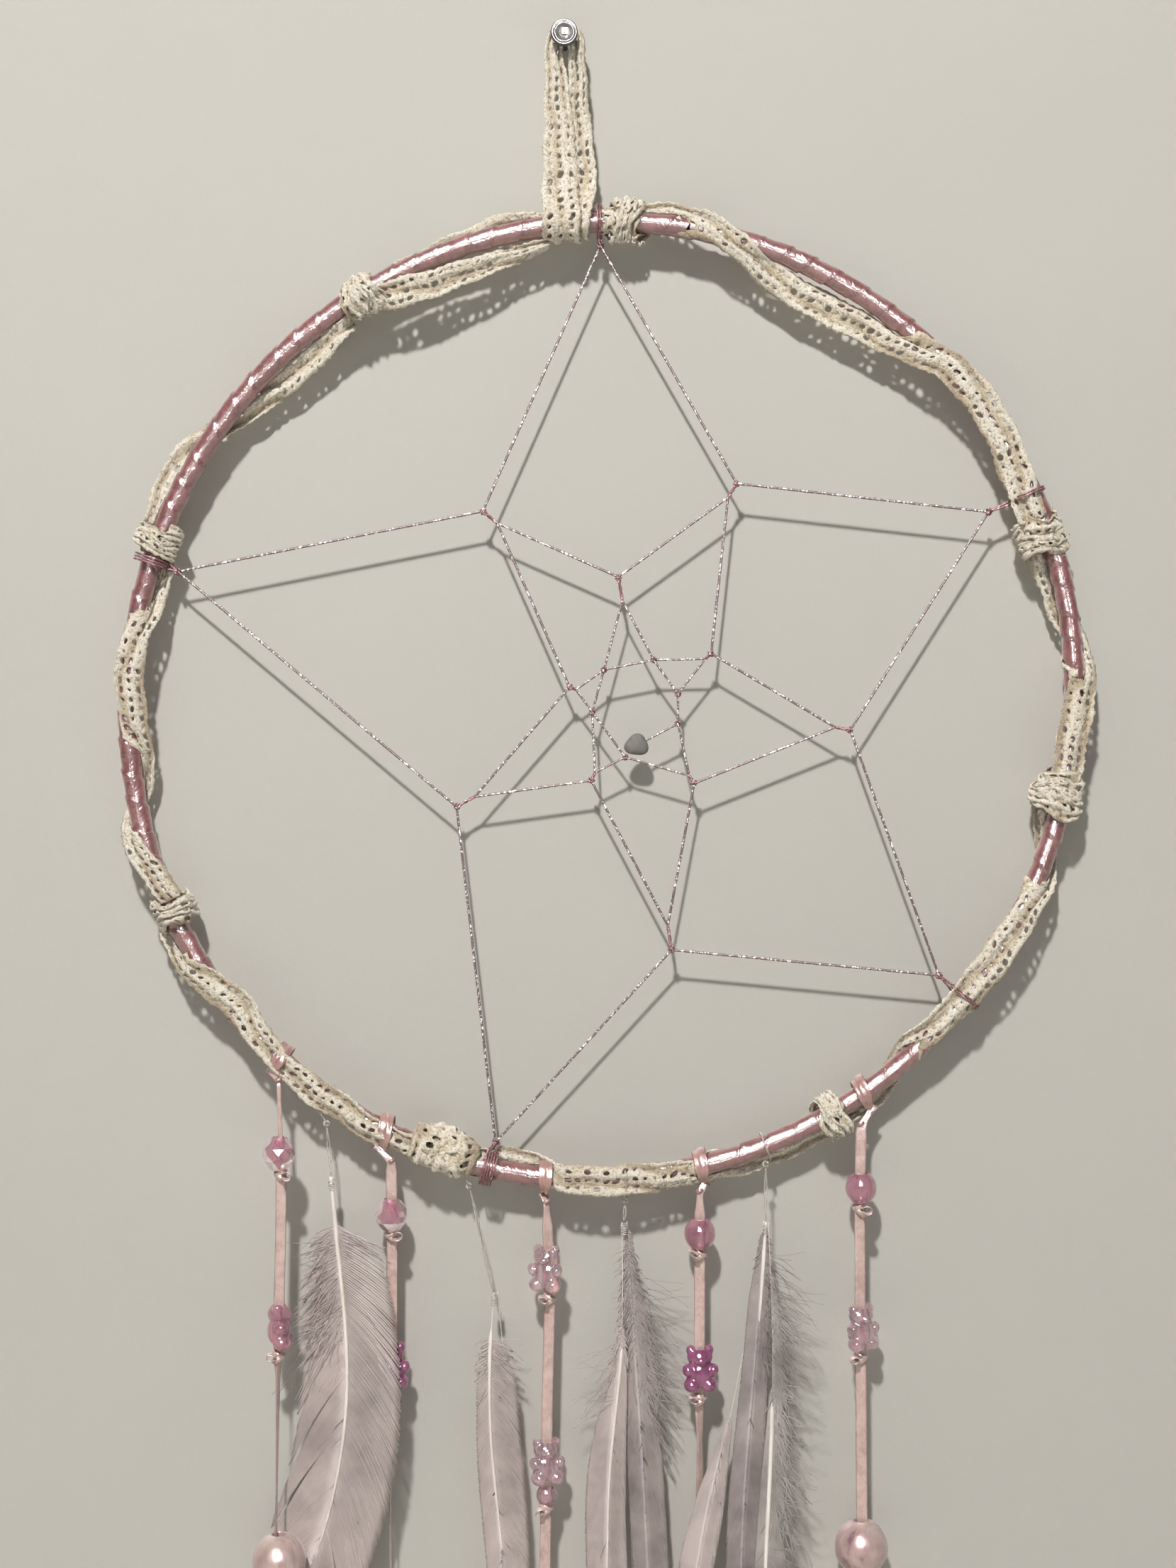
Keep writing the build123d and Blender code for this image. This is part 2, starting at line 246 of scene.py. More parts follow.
def modify(piece, kind, **settings):
    """Adds a modifier and applies it to the mesh."""
    modifier = piece.modifiers.new(kind.lower(), kind)
    for key, value in settings.items():
        setattr(modifier, key, value)
    graph = bpy.context.evaluated_depsgraph_get()
    mesh = bpy.data.meshes.new_from_object(piece.evaluated_get(graph))
    old = piece.data
    piece.modifiers.clear()
    piece.data = mesh
    bpy.data.meshes.remove(old)


def lathe(profile, foot, axis, sides=48):
    """A turned shape: profile is (radius, height) pairs, and its last ring is joined to its first."""
    axis = unit(axis)
    side = unit(np.cross(axis, [0.3, 0.2, 0.9]))
    other = np.cross(axis, side)
    verts = []
    for r, h in profile:
        for k in range(sides):
            turn = 2 * pi * k / sides
            verts.append(np.asarray(foot) + axis * h + r * (cos(turn) * side + sin(turn) * other))
    return np.array(verts), ring_faces(len(profile), sides, closed=True, flip=True)


def centre_of(node):
    """The middle of a CAD part's box, in millimetres."""
    low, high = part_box(node)
    return np.array([(low[k] + high[k]) / 2 / MM for k in range(3)])


def joint_place(name):
    """A joint's place, in millimetres."""
    for joint in frame["joints"]:
        if joint["name"] == name:
            return np.array(joint["pos_m"]) / MM
    raise ValueError(name)


# ---------------------------------------------------------------- materials


def srgb(r, g, b):
    """Linear colour from 0-255 screen values."""
    def channel(c):
        c /= 255
        return c / 12.92 if c <= 0.04045 else ((c + 0.055) / 1.055) ** 2.4
    return (channel(r), channel(g), channel(b), 1.0)


class Shader:
    """A material with a Principled shader and a few short ways to add nodes to it."""

    def __init__(self, name, **sockets):
        self.material = bpy.data.materials.new(name)
        self.material.use_nodes = True
        self.tree = self.material.node_tree
        self.main = self.tree.nodes["Principled BSDF"]
        for key, value in sockets.items():
            self.main.inputs[key.replace("_", " ")].default_value = value

    def feed(self, socket, value):
        """Links the socket to an output, or gives it a value."""
        if isinstance(value, bpy.types.NodeSocket):
            self.tree.links.new(value, socket)
        else:
            socket.default_value = value

    def node(self, kind, links=None, **values):
        made = self.tree.nodes.new("ShaderNode" + kind)
        for key, value in values.items():
            if key in made.inputs:
                made.inputs[key].default_value = value
            else:
                setattr(made, key, value)
        for key, source in (links or {}).items():
            self.tree.links.new(source, made.inputs[key])
        return made

    def place(self):
        return self.node("TexCoord").outputs["Object"]

    def mark(self, name):
        return self.node("Attribute", attribute_name=name).outputs["Vector"]

    def split(self, vector):
        return self.node("SeparateXYZ", {"Vector": vector})

    def noise(self, vector, scale, detail=4.0, roughness=0.6, distortion=0.0):
        made = self.node("TexNoise", {"Vector": vector}, Scale=scale, Detail=detail, Roughness=roughness,
                         Distortion=distortion)
        return made.outputs["Fac"]

    def stretch(self, vector, x, y, z):
        made = self.node("Mapping", {"Vector": vector})
        made.inputs["Scale"].default_value = (x, y, z)
        return made.outputs["Vector"]

    def ramp(self, value, stops):
        made = self.node("ValToRGB", {"Fac": value})
        band = made.color_ramp
        while len(band.elements) < len(stops):
            band.elements.new(0.5)
        for element, (position, colour) in zip(band.elements, stops):
            element.position = position
            element.color = colour if len(colour) == 4 else (*colour, 1)
        return made.outputs["Color"]

    def math(self, operation, a, b=0.5, c=0.5):
        made = self.node("Math", operation=operation)
        for k, value in enumerate((a, b, c)):
            self.feed(made.inputs[k], value)
        return made.outputs[0]

    def mix(self, factor, a, b, blend="MIX"):
        made = self.node("Mix", data_type="RGBA", blend_type=blend)
        for key, value in ((0, factor), (6, a), (7, b)):
            self.feed(made.inputs[key], value)
        return made.outputs[2]

    def remap(self, value, low, high):
        made = self.node("MapRange", {"Value": value})
        made.inputs["To Min"].default_value = low
        made.inputs["To Max"].default_value = high
        return made.outputs["Result"]

    def bump(self, height, strength, distance, normal=None):
        made = self.node("Bump", {"Height": height}, Strength=strength, Distance=distance)
        if normal is not None:
            self.tree.links.new(normal, made.inputs["Normal"])
        return made.outputs["Normal"]

    def set(self, socket, source):
        self.tree.links.new(source, self.main.inputs[socket])


def grey(value):
    """A grey from its linear value."""
    return (value, value, value, 1.0)


def satin_material(name, deep, mid, roughness, coat):
    """Woven satin: threads run along the strip, with a slightly uneven colour, and painted shade darkening both
    edges of the strip where the turns lap.
    The mark holds (millimetres along, share of the way across, 0)."""
    s = Shader(name, Sheen_Weight=0.3, Sheen_Roughness=0.4, Coat_Weight=coat, Coat_Roughness=0.2,
               Coat_IOR=1.9, Specular_IOR_Level=0.9, Specular_Tint=(1.0, 0.9, 0.88, 1.0))
    lay = s.mark("lay")
    parts = s.split(lay)
    threads = s.noise(s.stretch(lay, 0.5, 9.0, 1.0), 1.0, 3.0)
    cloud = s.noise(s.place(), 260.0, 3.0)
    waves = s.noise(s.stretch(lay, 0.45, 2.2, 1.0), 1.0, 2.0, 0.5, 0.8)
    shade = s.math("MULTIPLY_ADD", threads, 0.4, s.math("MULTIPLY", cloud, 0.6))
    colour = s.ramp(shade, [(0.3, deep), (0.62, mid)])
    # painted shade: the colour is darkened towards both edges of the strip, standing in for the shade where the
    # turns lap
    edge = s.ramp(parts.outputs["Y"], [(0.0, grey(0.42)), (0.07, grey(1.0)), (0.93, grey(1.0)),
                                       (1.0, grey(0.5))])
    s.set("Base Color", s.mix(1.0, colour, edge, "MULTIPLY"))
    s.set("Roughness", s.remap(shade, roughness - 0.06, roughness + 0.1))
    fine = s.bump(threads, 0.25, 0.0001, s.bump(waves, 0.35, 0.0007))
    s.set("Normal", fine)
    s.tree.links.new(fine, s.main.inputs["Coat Normal"])
    return s.material


def lace_material():
    """Crocheted cotton: matt cream yarn with small loops all over it, with painted shade in the hollows between
    the loops and down in its folds.
    The mark holds (along, across, height above the middle of the cloth) in millimetres."""
    s = Shader("cotton_lace", Sheen_Weight=0.4, Sheen_Roughness=0.6, Roughness=0.85)
    lay = s.mark("lay")
    loops = s.node("TexVoronoi", {"Vector": s.stretch(lay, 1.5, 1.25, 1.0)}, Scale=1.0, Randomness=0.9)
    strands = s.noise(s.stretch(lay, 1.0, 3.4, 1.0), 1.6, 3.0, 0.6, 1.2)
    fibres = s.noise(lay, 9.0, 5.0, 0.7)
    cloud = s.noise(s.place(), 110.0, 4.0)
    relief = s.math("MULTIPLY_ADD", strands, 1.1, s.math("MULTIPLY", fibres, 0.35))
    height = s.math("SUBTRACT", relief, s.math("MULTIPLY", loops.outputs["Distance"], 0.8))
    yarn = [(0.3, srgb(236, 225, 205)), (0.55, srgb(247, 239, 223)), (0.8, srgb(253, 249, 239))]
    colour = s.ramp(cloud, yarn)
    # painted shade: the colour turns brown where the relief is low, in the hollows between the loops
    shadow = s.ramp(height, [(0.0, srgb(132, 114, 90)), (0.16, srgb(230, 220, 200)), (0.34, grey(1.0))])
    # painted shade: the colour darkens down in the valleys of the folds
    fold = s.math("MULTIPLY_ADD", s.split(lay).outputs["Z"], 0.5, 0.5)
    painted_fold_shade = s.ramp(fold, [(0.0, srgb(186, 170, 146)), (0.28, srgb(230, 222, 206)), (0.5, grey(1.0))])
    colour = s.mix(0.85, colour, painted_fold_shade, "MULTIPLY")
    s.set("Base Color", s.mix(0.85, colour, shadow, "MULTIPLY"))
    s.set("Roughness", s.remap(fibres, 0.75, 0.95))
    s.set("Normal", s.bump(height, 0.8, 0.0004))
    return s.material


def thread_material(name, base, glint, share):
    """Metallic thread: a dull ply twisted with flat bright film, whose flashes are near-white spots here and there
    in the colour: partly the film's own colour, partly painted glint.
    """
    s = Shader(name, Metallic=0.25)
    spot = s.noise(s.place(), 1500.0, 1.5)
    # painted glint: near-white spots in the colour, partly the bright film's own colour
    film_and_painted_glint = s.ramp(spot, [(share, grey(0.0)), (share + 0.06, grey(1.0))])
    s.set("Base Color", s.mix(film_and_painted_glint, base, glint))
    s.set("Roughness", s.remap(spot, 0.35, 0.6))
    s.set("Normal", s.bump(spot, 0.4, 0.0001))
    return s.material


def bead_material(name, tint, deep, clear):
    """Clear tinted plastic, deeper in colour where flow lines gather."""
    s = Shader(name, IOR=1.45, Transmission_Weight=clear, Coat_Weight=1.0, Coat_Roughness=0.04)
    flow = s.noise(s.stretch(s.place(), 260, 260, 110), 1.0, 2.0, 0.5, 1.0)
    s.set("Base Color", s.ramp(flow, [(0.3, deep), (0.65, tint)]))
    s.set("Normal", s.bump(flow, 0.08, 0.0003))
    s.set("Roughness", s.remap(flow, 0.02, 0.08))
    return s.material


def pearl_material():
    """Pearl lacquer over plastic, clouded with mauve, with painted shade turning it a darker grey-mauve towards
    its outline as seen.
    """
    s = Shader("pearl_lacquer", Coat_Weight=0.8, Coat_Roughness=0.12, Sheen_Weight=0.25)
    cloud = s.noise(s.stretch(s.place(), 70, 70, 45), 1.0, 4.0, 0.55, 2.5)
    # painted shade: a darker grey-mauve blended in towards the pearl's outline as seen
    painted_rim_shade = s.node("LayerWeight", Blend=0.35).outputs["Facing"]
    lustre = [(0.3, srgb(140, 104, 112)), (0.44, srgb(186, 156, 154)), (0.6, srgb(204, 182, 174)),
              (0.78, srgb(160, 124, 126))]
    s.set("Base Color", s.mix(s.math("MULTIPLY", painted_rim_shade, 0.6), s.ramp(cloud, lustre), srgb(128, 106, 108)))
    s.set("Roughness", s.remap(cloud, 0.22, 0.36))
    s.set("Metallic", s.remap(cloud, 0.15, 0.3))
    s.set("Normal", s.bump(cloud, 0.1, 0.0005))
    return s.material


def vane_material(name, deep, light, tip):
    """A feather's vane: barbs that each have their own shade, and a paler outer edge.
    The mark holds (share along the quill, share along the barb, the barb's own number)."""
    s = Shader(name, Roughness=0.6, Sheen_Weight=0.5, Sheen_Roughness=0.4)
    parts = s.split(s.mark("lay"))
    each = s.noise(s.stretch(s.mark("lay"), 0, 0, 900), 1.0, 1.0)
    cloud = s.noise(s.place(), 55.0, 3.0)
    shade = s.math("MULTIPLY_ADD", each, 0.16, s.math("MULTIPLY", cloud, 0.84))
    colour = s.ramp(shade, [(0.32, deep), (0.62, light)])
    outer = s.ramp(parts.outputs["Y"], [(0.55, grey(0.0)), (1.0, grey(1.0))])
    s.set("Base Color", s.mix(s.math("MULTIPLY", outer, 0.45), colour, tip))
    s.set("Roughness", s.remap(each, 0.5, 0.72))
    s.set("Normal", s.bump(each, 0.12, 0.0002))
    return s.material


def quill_material():
    """Pale horn with a grain along the shaft."""
    s = Shader("quill_horn", Roughness=0.35, Coat_Weight=0.2)
    grain = s.noise(s.stretch(s.place(), 700, 700, 60), 1.0, 3.0)
    s.set("Base Color", s.ramp(grain, [(0.3, srgb(220, 210, 202)), (0.7, srgb(246, 240, 234))]))
    s.set("Normal", s.bump(grain, 0.2, 0.0001))
    return s.material


def nylon_material():
    """Clear nylon thread, clouded."""
    s = Shader("clear_nylon", IOR=1.5, Transmission_Weight=0.6)
    grain = s.noise(s.place(), 400.0)
    s.set("Base Color", s.ramp(grain, [(0.3, srgb(202, 196, 188)), (0.7, srgb(228, 224, 218))]))
    s.set("Roughness", s.remap(grain, 0.1, 0.3))
    return s.material


def metal_material(name, colour, low, high, scale):
    """Metal whose roughness wanders between low and high."""
    s = Shader(name, Metallic=1.0)
    grain = s.noise(s.place(), scale, 5.0)
    s.set("Base Color", s.ramp(grain, [(0.2, tuple(0.85 * c for c in colour[:3])), (0.8, colour)]))
    s.set("Roughness", s.remap(grain, low, high))
    s.set("Normal", s.bump(grain, 0.05, 0.0002))
    return s.material


def stone_material():
    """Matt grey stone."""
    s = Shader("grey_stone", Specular_IOR_Level=0.3)
    cloud = s.noise(s.place(), 350.0, 6.0)
    s.set("Base Color", s.ramp(cloud, [(0.3, srgb(98, 95, 91)), (0.7, srgb(122, 118, 112))]))
    s.set("Roughness", s.remap(cloud, 0.6, 0.8))
    s.set("Normal", s.bump(cloud, 0.3, 0.0003))
    return s.material


MAT_SATIN = satin_material("rose_satin", srgb(98, 50, 52), srgb(148, 90, 90), 0.3, 1.0)
MAT_RIBBON = satin_material("pink_ribbon", srgb(170, 138, 132), srgb(208, 180, 172), 0.34, 0.5)
MAT_TIE = satin_material("tie_ribbon", srgb(134, 92, 88), srgb(184, 140, 132), 0.34, 0.6)
MAT_LACE = lace_material()
MAT_SILVER = thread_material("silver_thread", srgb(104, 84, 84), srgb(252, 250, 248), 0.56)
MAT_PINK_THREAD = thread_material("pink_thread", srgb(128, 84, 88), srgb(214, 184, 186), 0.6)
MAT_ROUND_BEAD = bead_material("pink_bead", srgb(214, 168, 180), srgb(174, 124, 140), 0.6)
MAT_MAGENTA_BEAD = bead_material("magenta_bead", srgb(190, 116, 160), srgb(146, 78, 122), 0.5)
MAT_BLUSH_BEAD = bead_material("blush_bead", srgb(230, 206, 210), srgb(198, 166, 176), 0.8)
MAT_PEARL = pearl_material()
MAT_VANE = vane_material("vane", srgb(152, 138, 136), srgb(188, 174, 170), srgb(172, 159, 155))
MAT_VANE_DARK = vane_material("vane_dark", srgb(108, 96, 95), srgb(158, 146, 143), srgb(140, 130, 127))
MAT_DOWN = vane_material("down", srgb(128, 118, 115), srgb(172, 164, 160), srgb(160, 154, 150))
MAT_QUILL = quill_material()
MAT_NYLON = nylon_material()
MAT_CHROME = metal_material("chrome", srgb(104, 102, 102), 0.12, 0.26, 300.0)
MAT_STEEL = metal_material("steel_wire", srgb(150, 150, 148), 0.3, 0.5, 200.0)
MAT_STONE = stone_material()
MAT_LENS = bead_material("clear_lens", srgb(176, 172, 168), srgb(110, 107, 103), 0.7)

# ---------------------------------------------------------------- hoop core and satin


# rings along the hoop and points in each, for the winding's outer and inner sides
SATIN_ROWS, SATIN_SIDES = 1560, 30
SATIN_INNER_ROWS, SATIN_INNER_SIDES = 240, 16
# millimetres along the hoop for each degree of it
PER_DEGREE = 2.6
# least and most degrees of the hoop for one turn of the ribbon
SATIN_PITCH = (2.7, 4.4)


def satin_winding():
    """A satin ribbon wound round the wire in lapped turns of uneven pitch, its inner side on the wire."""
    rng = random.Random(11)
    turn_ends, at = [0.0], 0.0
    while at < 360:
        at += rng.uniform(*SATIN_PITCH)
        turn_ends.append(at)
    turn_ends = np.array(turn_ends) * 360 / turn_ends[-1]
    turns = len(turn_ends) - 1
    slack = np.array([rng.uniform(0.18, 0.6) for _ in range(turns + 1)])
    ripple = np.array([rng.uniform(0, 2 * pi) for _ in range(turns + 1)])
    verts, marks = [], []
    for i in range(SATIN_ROWS):
        angle = 360 * i / SATIN_ROWS
        phase = np.interp(angle, turn_ends, np.arange(turns + 1))
        centre, out, _ = hoop_at(angle)
        for k in range(SATIN_SIDES):
            phi = 2 * pi * k / SATIN_SIDES
            lay = phase - phi / (2 * pi)
            which = int(floor(lay)) % turns
            share = lay - floor(lay)
            lift = slack[which] * share ** 1.5
            crease = 0.1 * sin(3 * phi + ripple[which]) * sin(pi * share)
            crease += 0.06 * sin(PER_DEGREE * angle + 2 * phi) * sin(0.9 * angle - phi + ripple[which])
            radius = SATIN_R - 0.2 + lift + crease
            verts.append(centre + radius * (cos(phi) * TOWARDS + sin(phi) * out))
            marks.append((angle * PER_DEGREE + phi * 3.0, share, 0.0))
    faces = ring_faces(SATIN_ROWS, SATIN_SIDES, closed=True, flip=True)
    faces += ring_faces(SATIN_INNER_ROWS, SATIN_INNER_SIDES, closed=True, base=len(verts))
    for i in range(SATIN_INNER_ROWS):
        angle = 360 * i / SATIN_INNER_ROWS
        for k in range(SATIN_INNER_SIDES):
            verts.append(around_hoop(angle, 360 * k / SATIN_INNER_SIDES, CORE_R + 0.05))
            marks.append((angle * PER_DEGREE, 0.5, 0.0))
    piece = add_piece("satin_winding", (verts, faces), "hoop", MAT_SATIN, ["satin_wrap"],
                      lay=marks)


def plain_cad_finishes():
    """The wire core is drawn as the frame has it, in steel."""
    core = frame["nodes"]["hoop_core"]
    core.data.materials.clear()
    core.data.materials.append(MAT_STEEL)


# ---------------------------------------------------------------- lace

LACE_WIDTH = 14.0
LACE_THICK = 0.45
LACE_PITCH = 3.0
# how far the lace is pulled in from the widths given for it
LACE_PULLED = 0.8
# rows across the lace: (height share, hole width share, hole height share)
LACE_ROWS = [(0.09, 0.0, 0.0), (0.2, 0.6, 0.68), (0.08, 0.0, 0.0), (0.24, 0.62, 0.72), (0.08, 0.0, 0.0),
             (0.2, 0.6, 0.7), (0.09, 0.0, 0.0)]
# corners and middles of the sides of one cell, in half cells, going round it
CELL_RING = [(0, 0), (1, 0), (2, 0), (2, 1), (2, 2), (1, 2), (0, 2), (0, 1)]


def lace_pattern(length, seed):
    """Flat lace with real holes: points as (along, across 0-1, puff) and faces."""
    rng = random.Random(seed)
    count = max(int(round(length / LACE_PITCH)), 3)
    pitch = length / count
    total = sum(row[0] for row in LACE_ROWS)
    edges = np.concatenate([[0], np.cumsum([row[0] / total for row in LACE_ROWS])])
    points, faces, shared = [], [], {}

    def shared_point(half_i, half_j):
        key = (half_i, half_j)
        if key not in shared:
            j = half_j // 2
            v = edges[j] if half_j % 2 == 0 else (edges[j] + edges[j + 1]) / 2
            if half_j == 0:
                v -= 0.04 * (half_i % 2)
            if half_j == 2 * len(LACE_ROWS):
                v += 0.05 * (half_i % 2)
            shared[key] = len(points)
            points.append((half_i * pitch / 2 + rng.uniform(-0.3, 0.3), v + rng.uniform(-0.018, 0.018),
                           rng.uniform(-0.1, 0.26)))
        return shared[key]

    for j, (_, wide, tall) in enumerate(LACE_ROWS):
        for i in range(count):
            border = [shared_point(2 * i + a, 2 * j + b) for a, b in CELL_RING]
            mid_u, mid_v = (i + 0.5) * pitch, (edges[j] + edges[j + 1]) / 2
            if wide == 0.0:
                centre = len(points)
                points.append((mid_u, mid_v, rng.uniform(0.05, 0.35)))
                for k in range(0, 8, 2):
                    faces.append((border[k - 1], border[k], border[k + 1], centre))
                continue
            size = rng.choice([rng.uniform(0.12, 0.3), rng.uniform(0.55, 0.9), rng.uniform(1.0, 1.35)])
            slant = rng.uniform(-0.1, 0.45)
            half_v = (edges[j + 1] - edges[j]) / 2
            hole = []
            for a, b in CELL_RING:
                du, dv = a - 1, b - 1
                norm = sqrt(du * du + dv * dv)
                du, dv = du / norm, dv / norm
                hole.append(len(points))
                hole_u = mid_u + (du * wide + slant * dv) * size * pitch / 2
                points.append((hole_u, mid_v + dv * tall * size * half_v, rng.uniform(-0.12, 0.05)))
            for k in range(8):
                m = (k + 1) % 8
                faces.append((border[k], border[m], hole[m], hole[k]))
    return np.array(points), faces


def gather(across, width, folds, phase, curl):
    """Offsets (sideways, outward) of lace gathered to a width: the surplus goes into soft folds."""
    surplus = np.maximum(LACE_WIDTH / width, 1.0)
    depth = np.minimum(width / (2 * pi * max(folds, 0.1)) * np.sqrt(2 * (surplus**2 - 1)), 1.9)
    sideways = (across - 0.5) * width
    return sideways, 0.5 * depth * np.cos(2 * pi * folds * across + phase) - curl * sideways**2


def lay_lace(name, line, across_dir, face_dir, widths, body, seed, folds=1.4, curl=0.03, crumple=0.3,
             replaces=(), keep_out=None, held="gathered", rests_on=("hoop_core",)):
    """Lays lace along a line, given across and face directions and the gathered width at each of its points.
    The holed cloth is folded to that width, crumpled and then given its thickness."""
    s = lengths_of(line)
    points, faces = lace_pattern(s[-1], seed)
    u = np.clip(points[:, 0], 0, s[-1])

    def along(values):
        values = np.asarray(values, float)
        if values.ndim == 1:
            return np.interp(u, s, values)
        return np.stack([np.interp(u, s, values[:, k]) for k in range(3)], axis=1)

    centre, side, face = along(line), unit(along(across_dir)), unit(along(face_dir))
    rng = random.Random(seed * 7 + 1)
    phase0, drift = rng.uniform(0, 6), rng.uniform(0.05, 0.14)
    phase = phase0 + drift * u + 0.9 * np.sin(u * 0.19 + phase0)
    sideways, outward = gather(points[:, 1], along(widths), folds, phase, curl)
    across = points[:, 1] * LACE_WIDTH
    outward = outward + crumple * np.sin(0.75 * u + 0.9 * across + phase0) * np.sin(1.1 * across - 0.35 * u)
    sideways = sideways + crumple * 0.8 * np.sin(0.43 * u + 2 * phase0)
    sideways = sideways + crumple * 0.4 * np.sin(1.7 * u + across)
    verts = centre + side * sideways[:, None] + face * (outward + points[:, 2])[:, None]
    if keep_out is not None:
        verts = keep_out(verts)
    marks = np.stack([points[:, 0], across, outward + points[:, 2]], axis=1)
    piece = add_piece(name, (verts, faces), body, MAT_LACE, replaces, lay=marks)
    modify(piece, "SOLIDIFY", thickness=LACE_THICK * MM, offset=0.0, use_even_offset=False)
    piece.data.shade_smooth()


def outside_tube(radius):
    """A function that pushes points out of the wound hoop's tube."""
    centres = np.array([hoop_at(angle)[0] for angle in np.arange(0, 360, 0.25)])

    def keep_out(verts):
        moved = verts.copy()
        for i, v in enumerate(verts):
            nearest = centres[np.argmin(((centres - v) ** 2).sum(axis=1))]
            away = v - nearest
            reach = np.linalg.norm(away)
            if reach < radius:
                moved[i] = nearest + away / max(reach, 1e-6) * radius
        return moved

    return keep_out


CLEAR_OF_SATIN = outside_tube(SATIN_R + 0.55)

# each run of lace between knots: (hoop angle, offset away from the hoop's middle, offset towards the viewer,
# width before it is pulled in)
LACE_RUNS = {
    "lace_band_1": [(2.6, 2.5, -1.5, 8), (6.0, 4.2, -1.0, 8), (9.5, 3.0, 1.5, 9), (13.7, 0, 4.2, 10),
                    (18.5, -5.5, 2.0, 10), (22.7, -9, -0.5, 11), (31.1, -9.2, -1.0, 12),
                    (38.4, -7.0, 0.0, 11), (43.6, -3, 3.4, 12), (47.8, 0.5, 4.2, 12), (57.2, -0.5, 4.2, 12),
                    (62.3, -3.0, 4.2, 12.5), (69.2, -4.4, 4.0, 11)],
    "lace_band_2": [(72.9, -4, 0.5, 10), (77.7, -3, -3, 10), (81.6, -1, -4.2, 10), (85.4, 3, -2.5, 9),
                    (89.2, 2.5, 2.5, 10), (93.0, 0, 4.2, 12), (97.8, -1, 4.2, 11.5), (101.0, -1, 4.2, 10)],
    "lace_band_3": [(104.6, -3.5, -1, 9), (108.2, -1, -4.2, 9), (111.0, 3, -2.5, 8), (114.3, 2, 2.5, 9),
                    (118.5, 0, 4.2, 11), (126.0, -0.7, 4.3, 12.5), (132.6, -1.5, 4.2, 10),
                    (136.4, -3, 2.5, 8), (138.7, -2.5, -2, 8), (141.1, 1, -4.2, 8), (143.9, 3.5, -2.5, 9),
                    (148.4, 3, -1.5, 8)],
    "lace_band_4": [(150.7, 3, -2, 9), (156.2, 3.5, -2.5, 9.5), (162.8, 3, -2.5, 9), (166.2, 2, 0, 9),
                    (168.6, 0.5, 4, 10), (173.7, 0, 4.2, 11), (179.8, 0, 4.2, 11), (183.9, -0.5, 4, 10),
                    (186.0, -3, -1, 8), (188.0, -3.5, -2.5, 9), (192.2, -3, -2.5, 9), (195.5, -1, 2, 9)],
    "lace_band_5": [(201.4, 0, 4, 9), (204.8, 0, 3.9, 7.5), (207.7, 1.5, 4.2, 9), (211.8, -0.5, 4.2, 10),
                    (217.0, 0.5, 4.2, 10), (220.6, 0, 3.9, 8), (224.3, -0.5, 4.2, 9), (227.5, -2.0, 4.0, 10),
                    (230.3, -3.2, 3.4, 11), (233.3, -1.2, 4.2, 12), (236.2, 1.6, 4.0, 11),
                    (238.6, 3.6, 2.2, 8), (241.2, 4.1, 0.3, 7.5), (243.7, 3.4, -1.8, 7.5)],
    "lace_band_6": [(246.4, -2.6, 3, 9), (249.2, -1.0, 4.2, 9), (252.2, 1.6, 4, 9), (254.6, 3.8, 2, 8),
                    (256.6, 4, -1, 8), (258.6, 1.5, -4.0, 8), (260.8, -2, -4.2, 8), (263.0, -3.9, -1.5, 8),
                    (265.8, -3.8, 1, 8), (268.8, -2.4, 3.6, 10),
                    (274.4, -0.5, 4.2, 11), (278.3, -1, 4.2, 10), (281.2, -3.5, 1.5, 9), (284.1, -4, -2, 9),
                    (288.6, -3, -1.5, 9)],
    "lace_band_7": [(291.8, 3, 0, 9), (295.9, 4.5, -2, 10), (299.8, 5, -2.5, 10), (303.7, 3, -3.5, 9),
                    (306.6, -1, -4.2, 9), (309.6, -4, -3, 9), (314.5, -6.5, -2, 10), (321.3, -6.5, -1.5, 10),
                    (326.1, -4, 1, 9)],
    "lace_band_8": [(330.0, 0, -3, 9), (336.1, 1, -4.2, 9), (342.0, 2, -4, 9), (346.9, 4, -3, 9),
                    (351.6, 3, -3.2, 6), (356.4, 1, -4.2, 5), (361.0, 0.5, 3.9, 6)],
}
LACE_STANDS_FOR = {"lace_band_1": ["lace_wrap_right"], "lace_band_4": ["lace_wrap_bottom"],
                   "lace_band_5": ["lace_wrap_left"]}


def lace_line(keys, step=0.4):
    """Line, across and face directions and widths for lace that follows the hoop through keys."""
    keys = np.array(keys, float)
    route = smooth_path(keys[:, :3], resolution=14)
    angles = np.arange(keys[0, 0], keys[-1, 0], step)
    outward = np.interp(angles, route[:, 0], route[:, 1])
    forward = np.interp(angles, route[:, 0], route[:, 2])
    widths = LACE_PULLED * np.interp(angles, keys[:, 0], keys[:, 3])
    line, side = [], []
    for angle, away, near in zip(angles, outward, forward):
        centre, out, _ = hoop_at(angle)
        line.append(centre + out * away + TOWARDS * near)
        side.append(out)
    return np.array(line), np.array(side), np.tile(TOWARDS, (len(line), 1)), widths


def lace_bands():
    """The runs of lace that wander round the hoop from knot to knot."""
    for k, (name, keys) in enumerate(LACE_RUNS.items()):
        lay_lace(name, *lace_line(keys), "hoop", 31 + k, replaces=LACE_STANDS_FOR.get(name, ()),
                 keep_out=CLEAR_OF_SATIN)


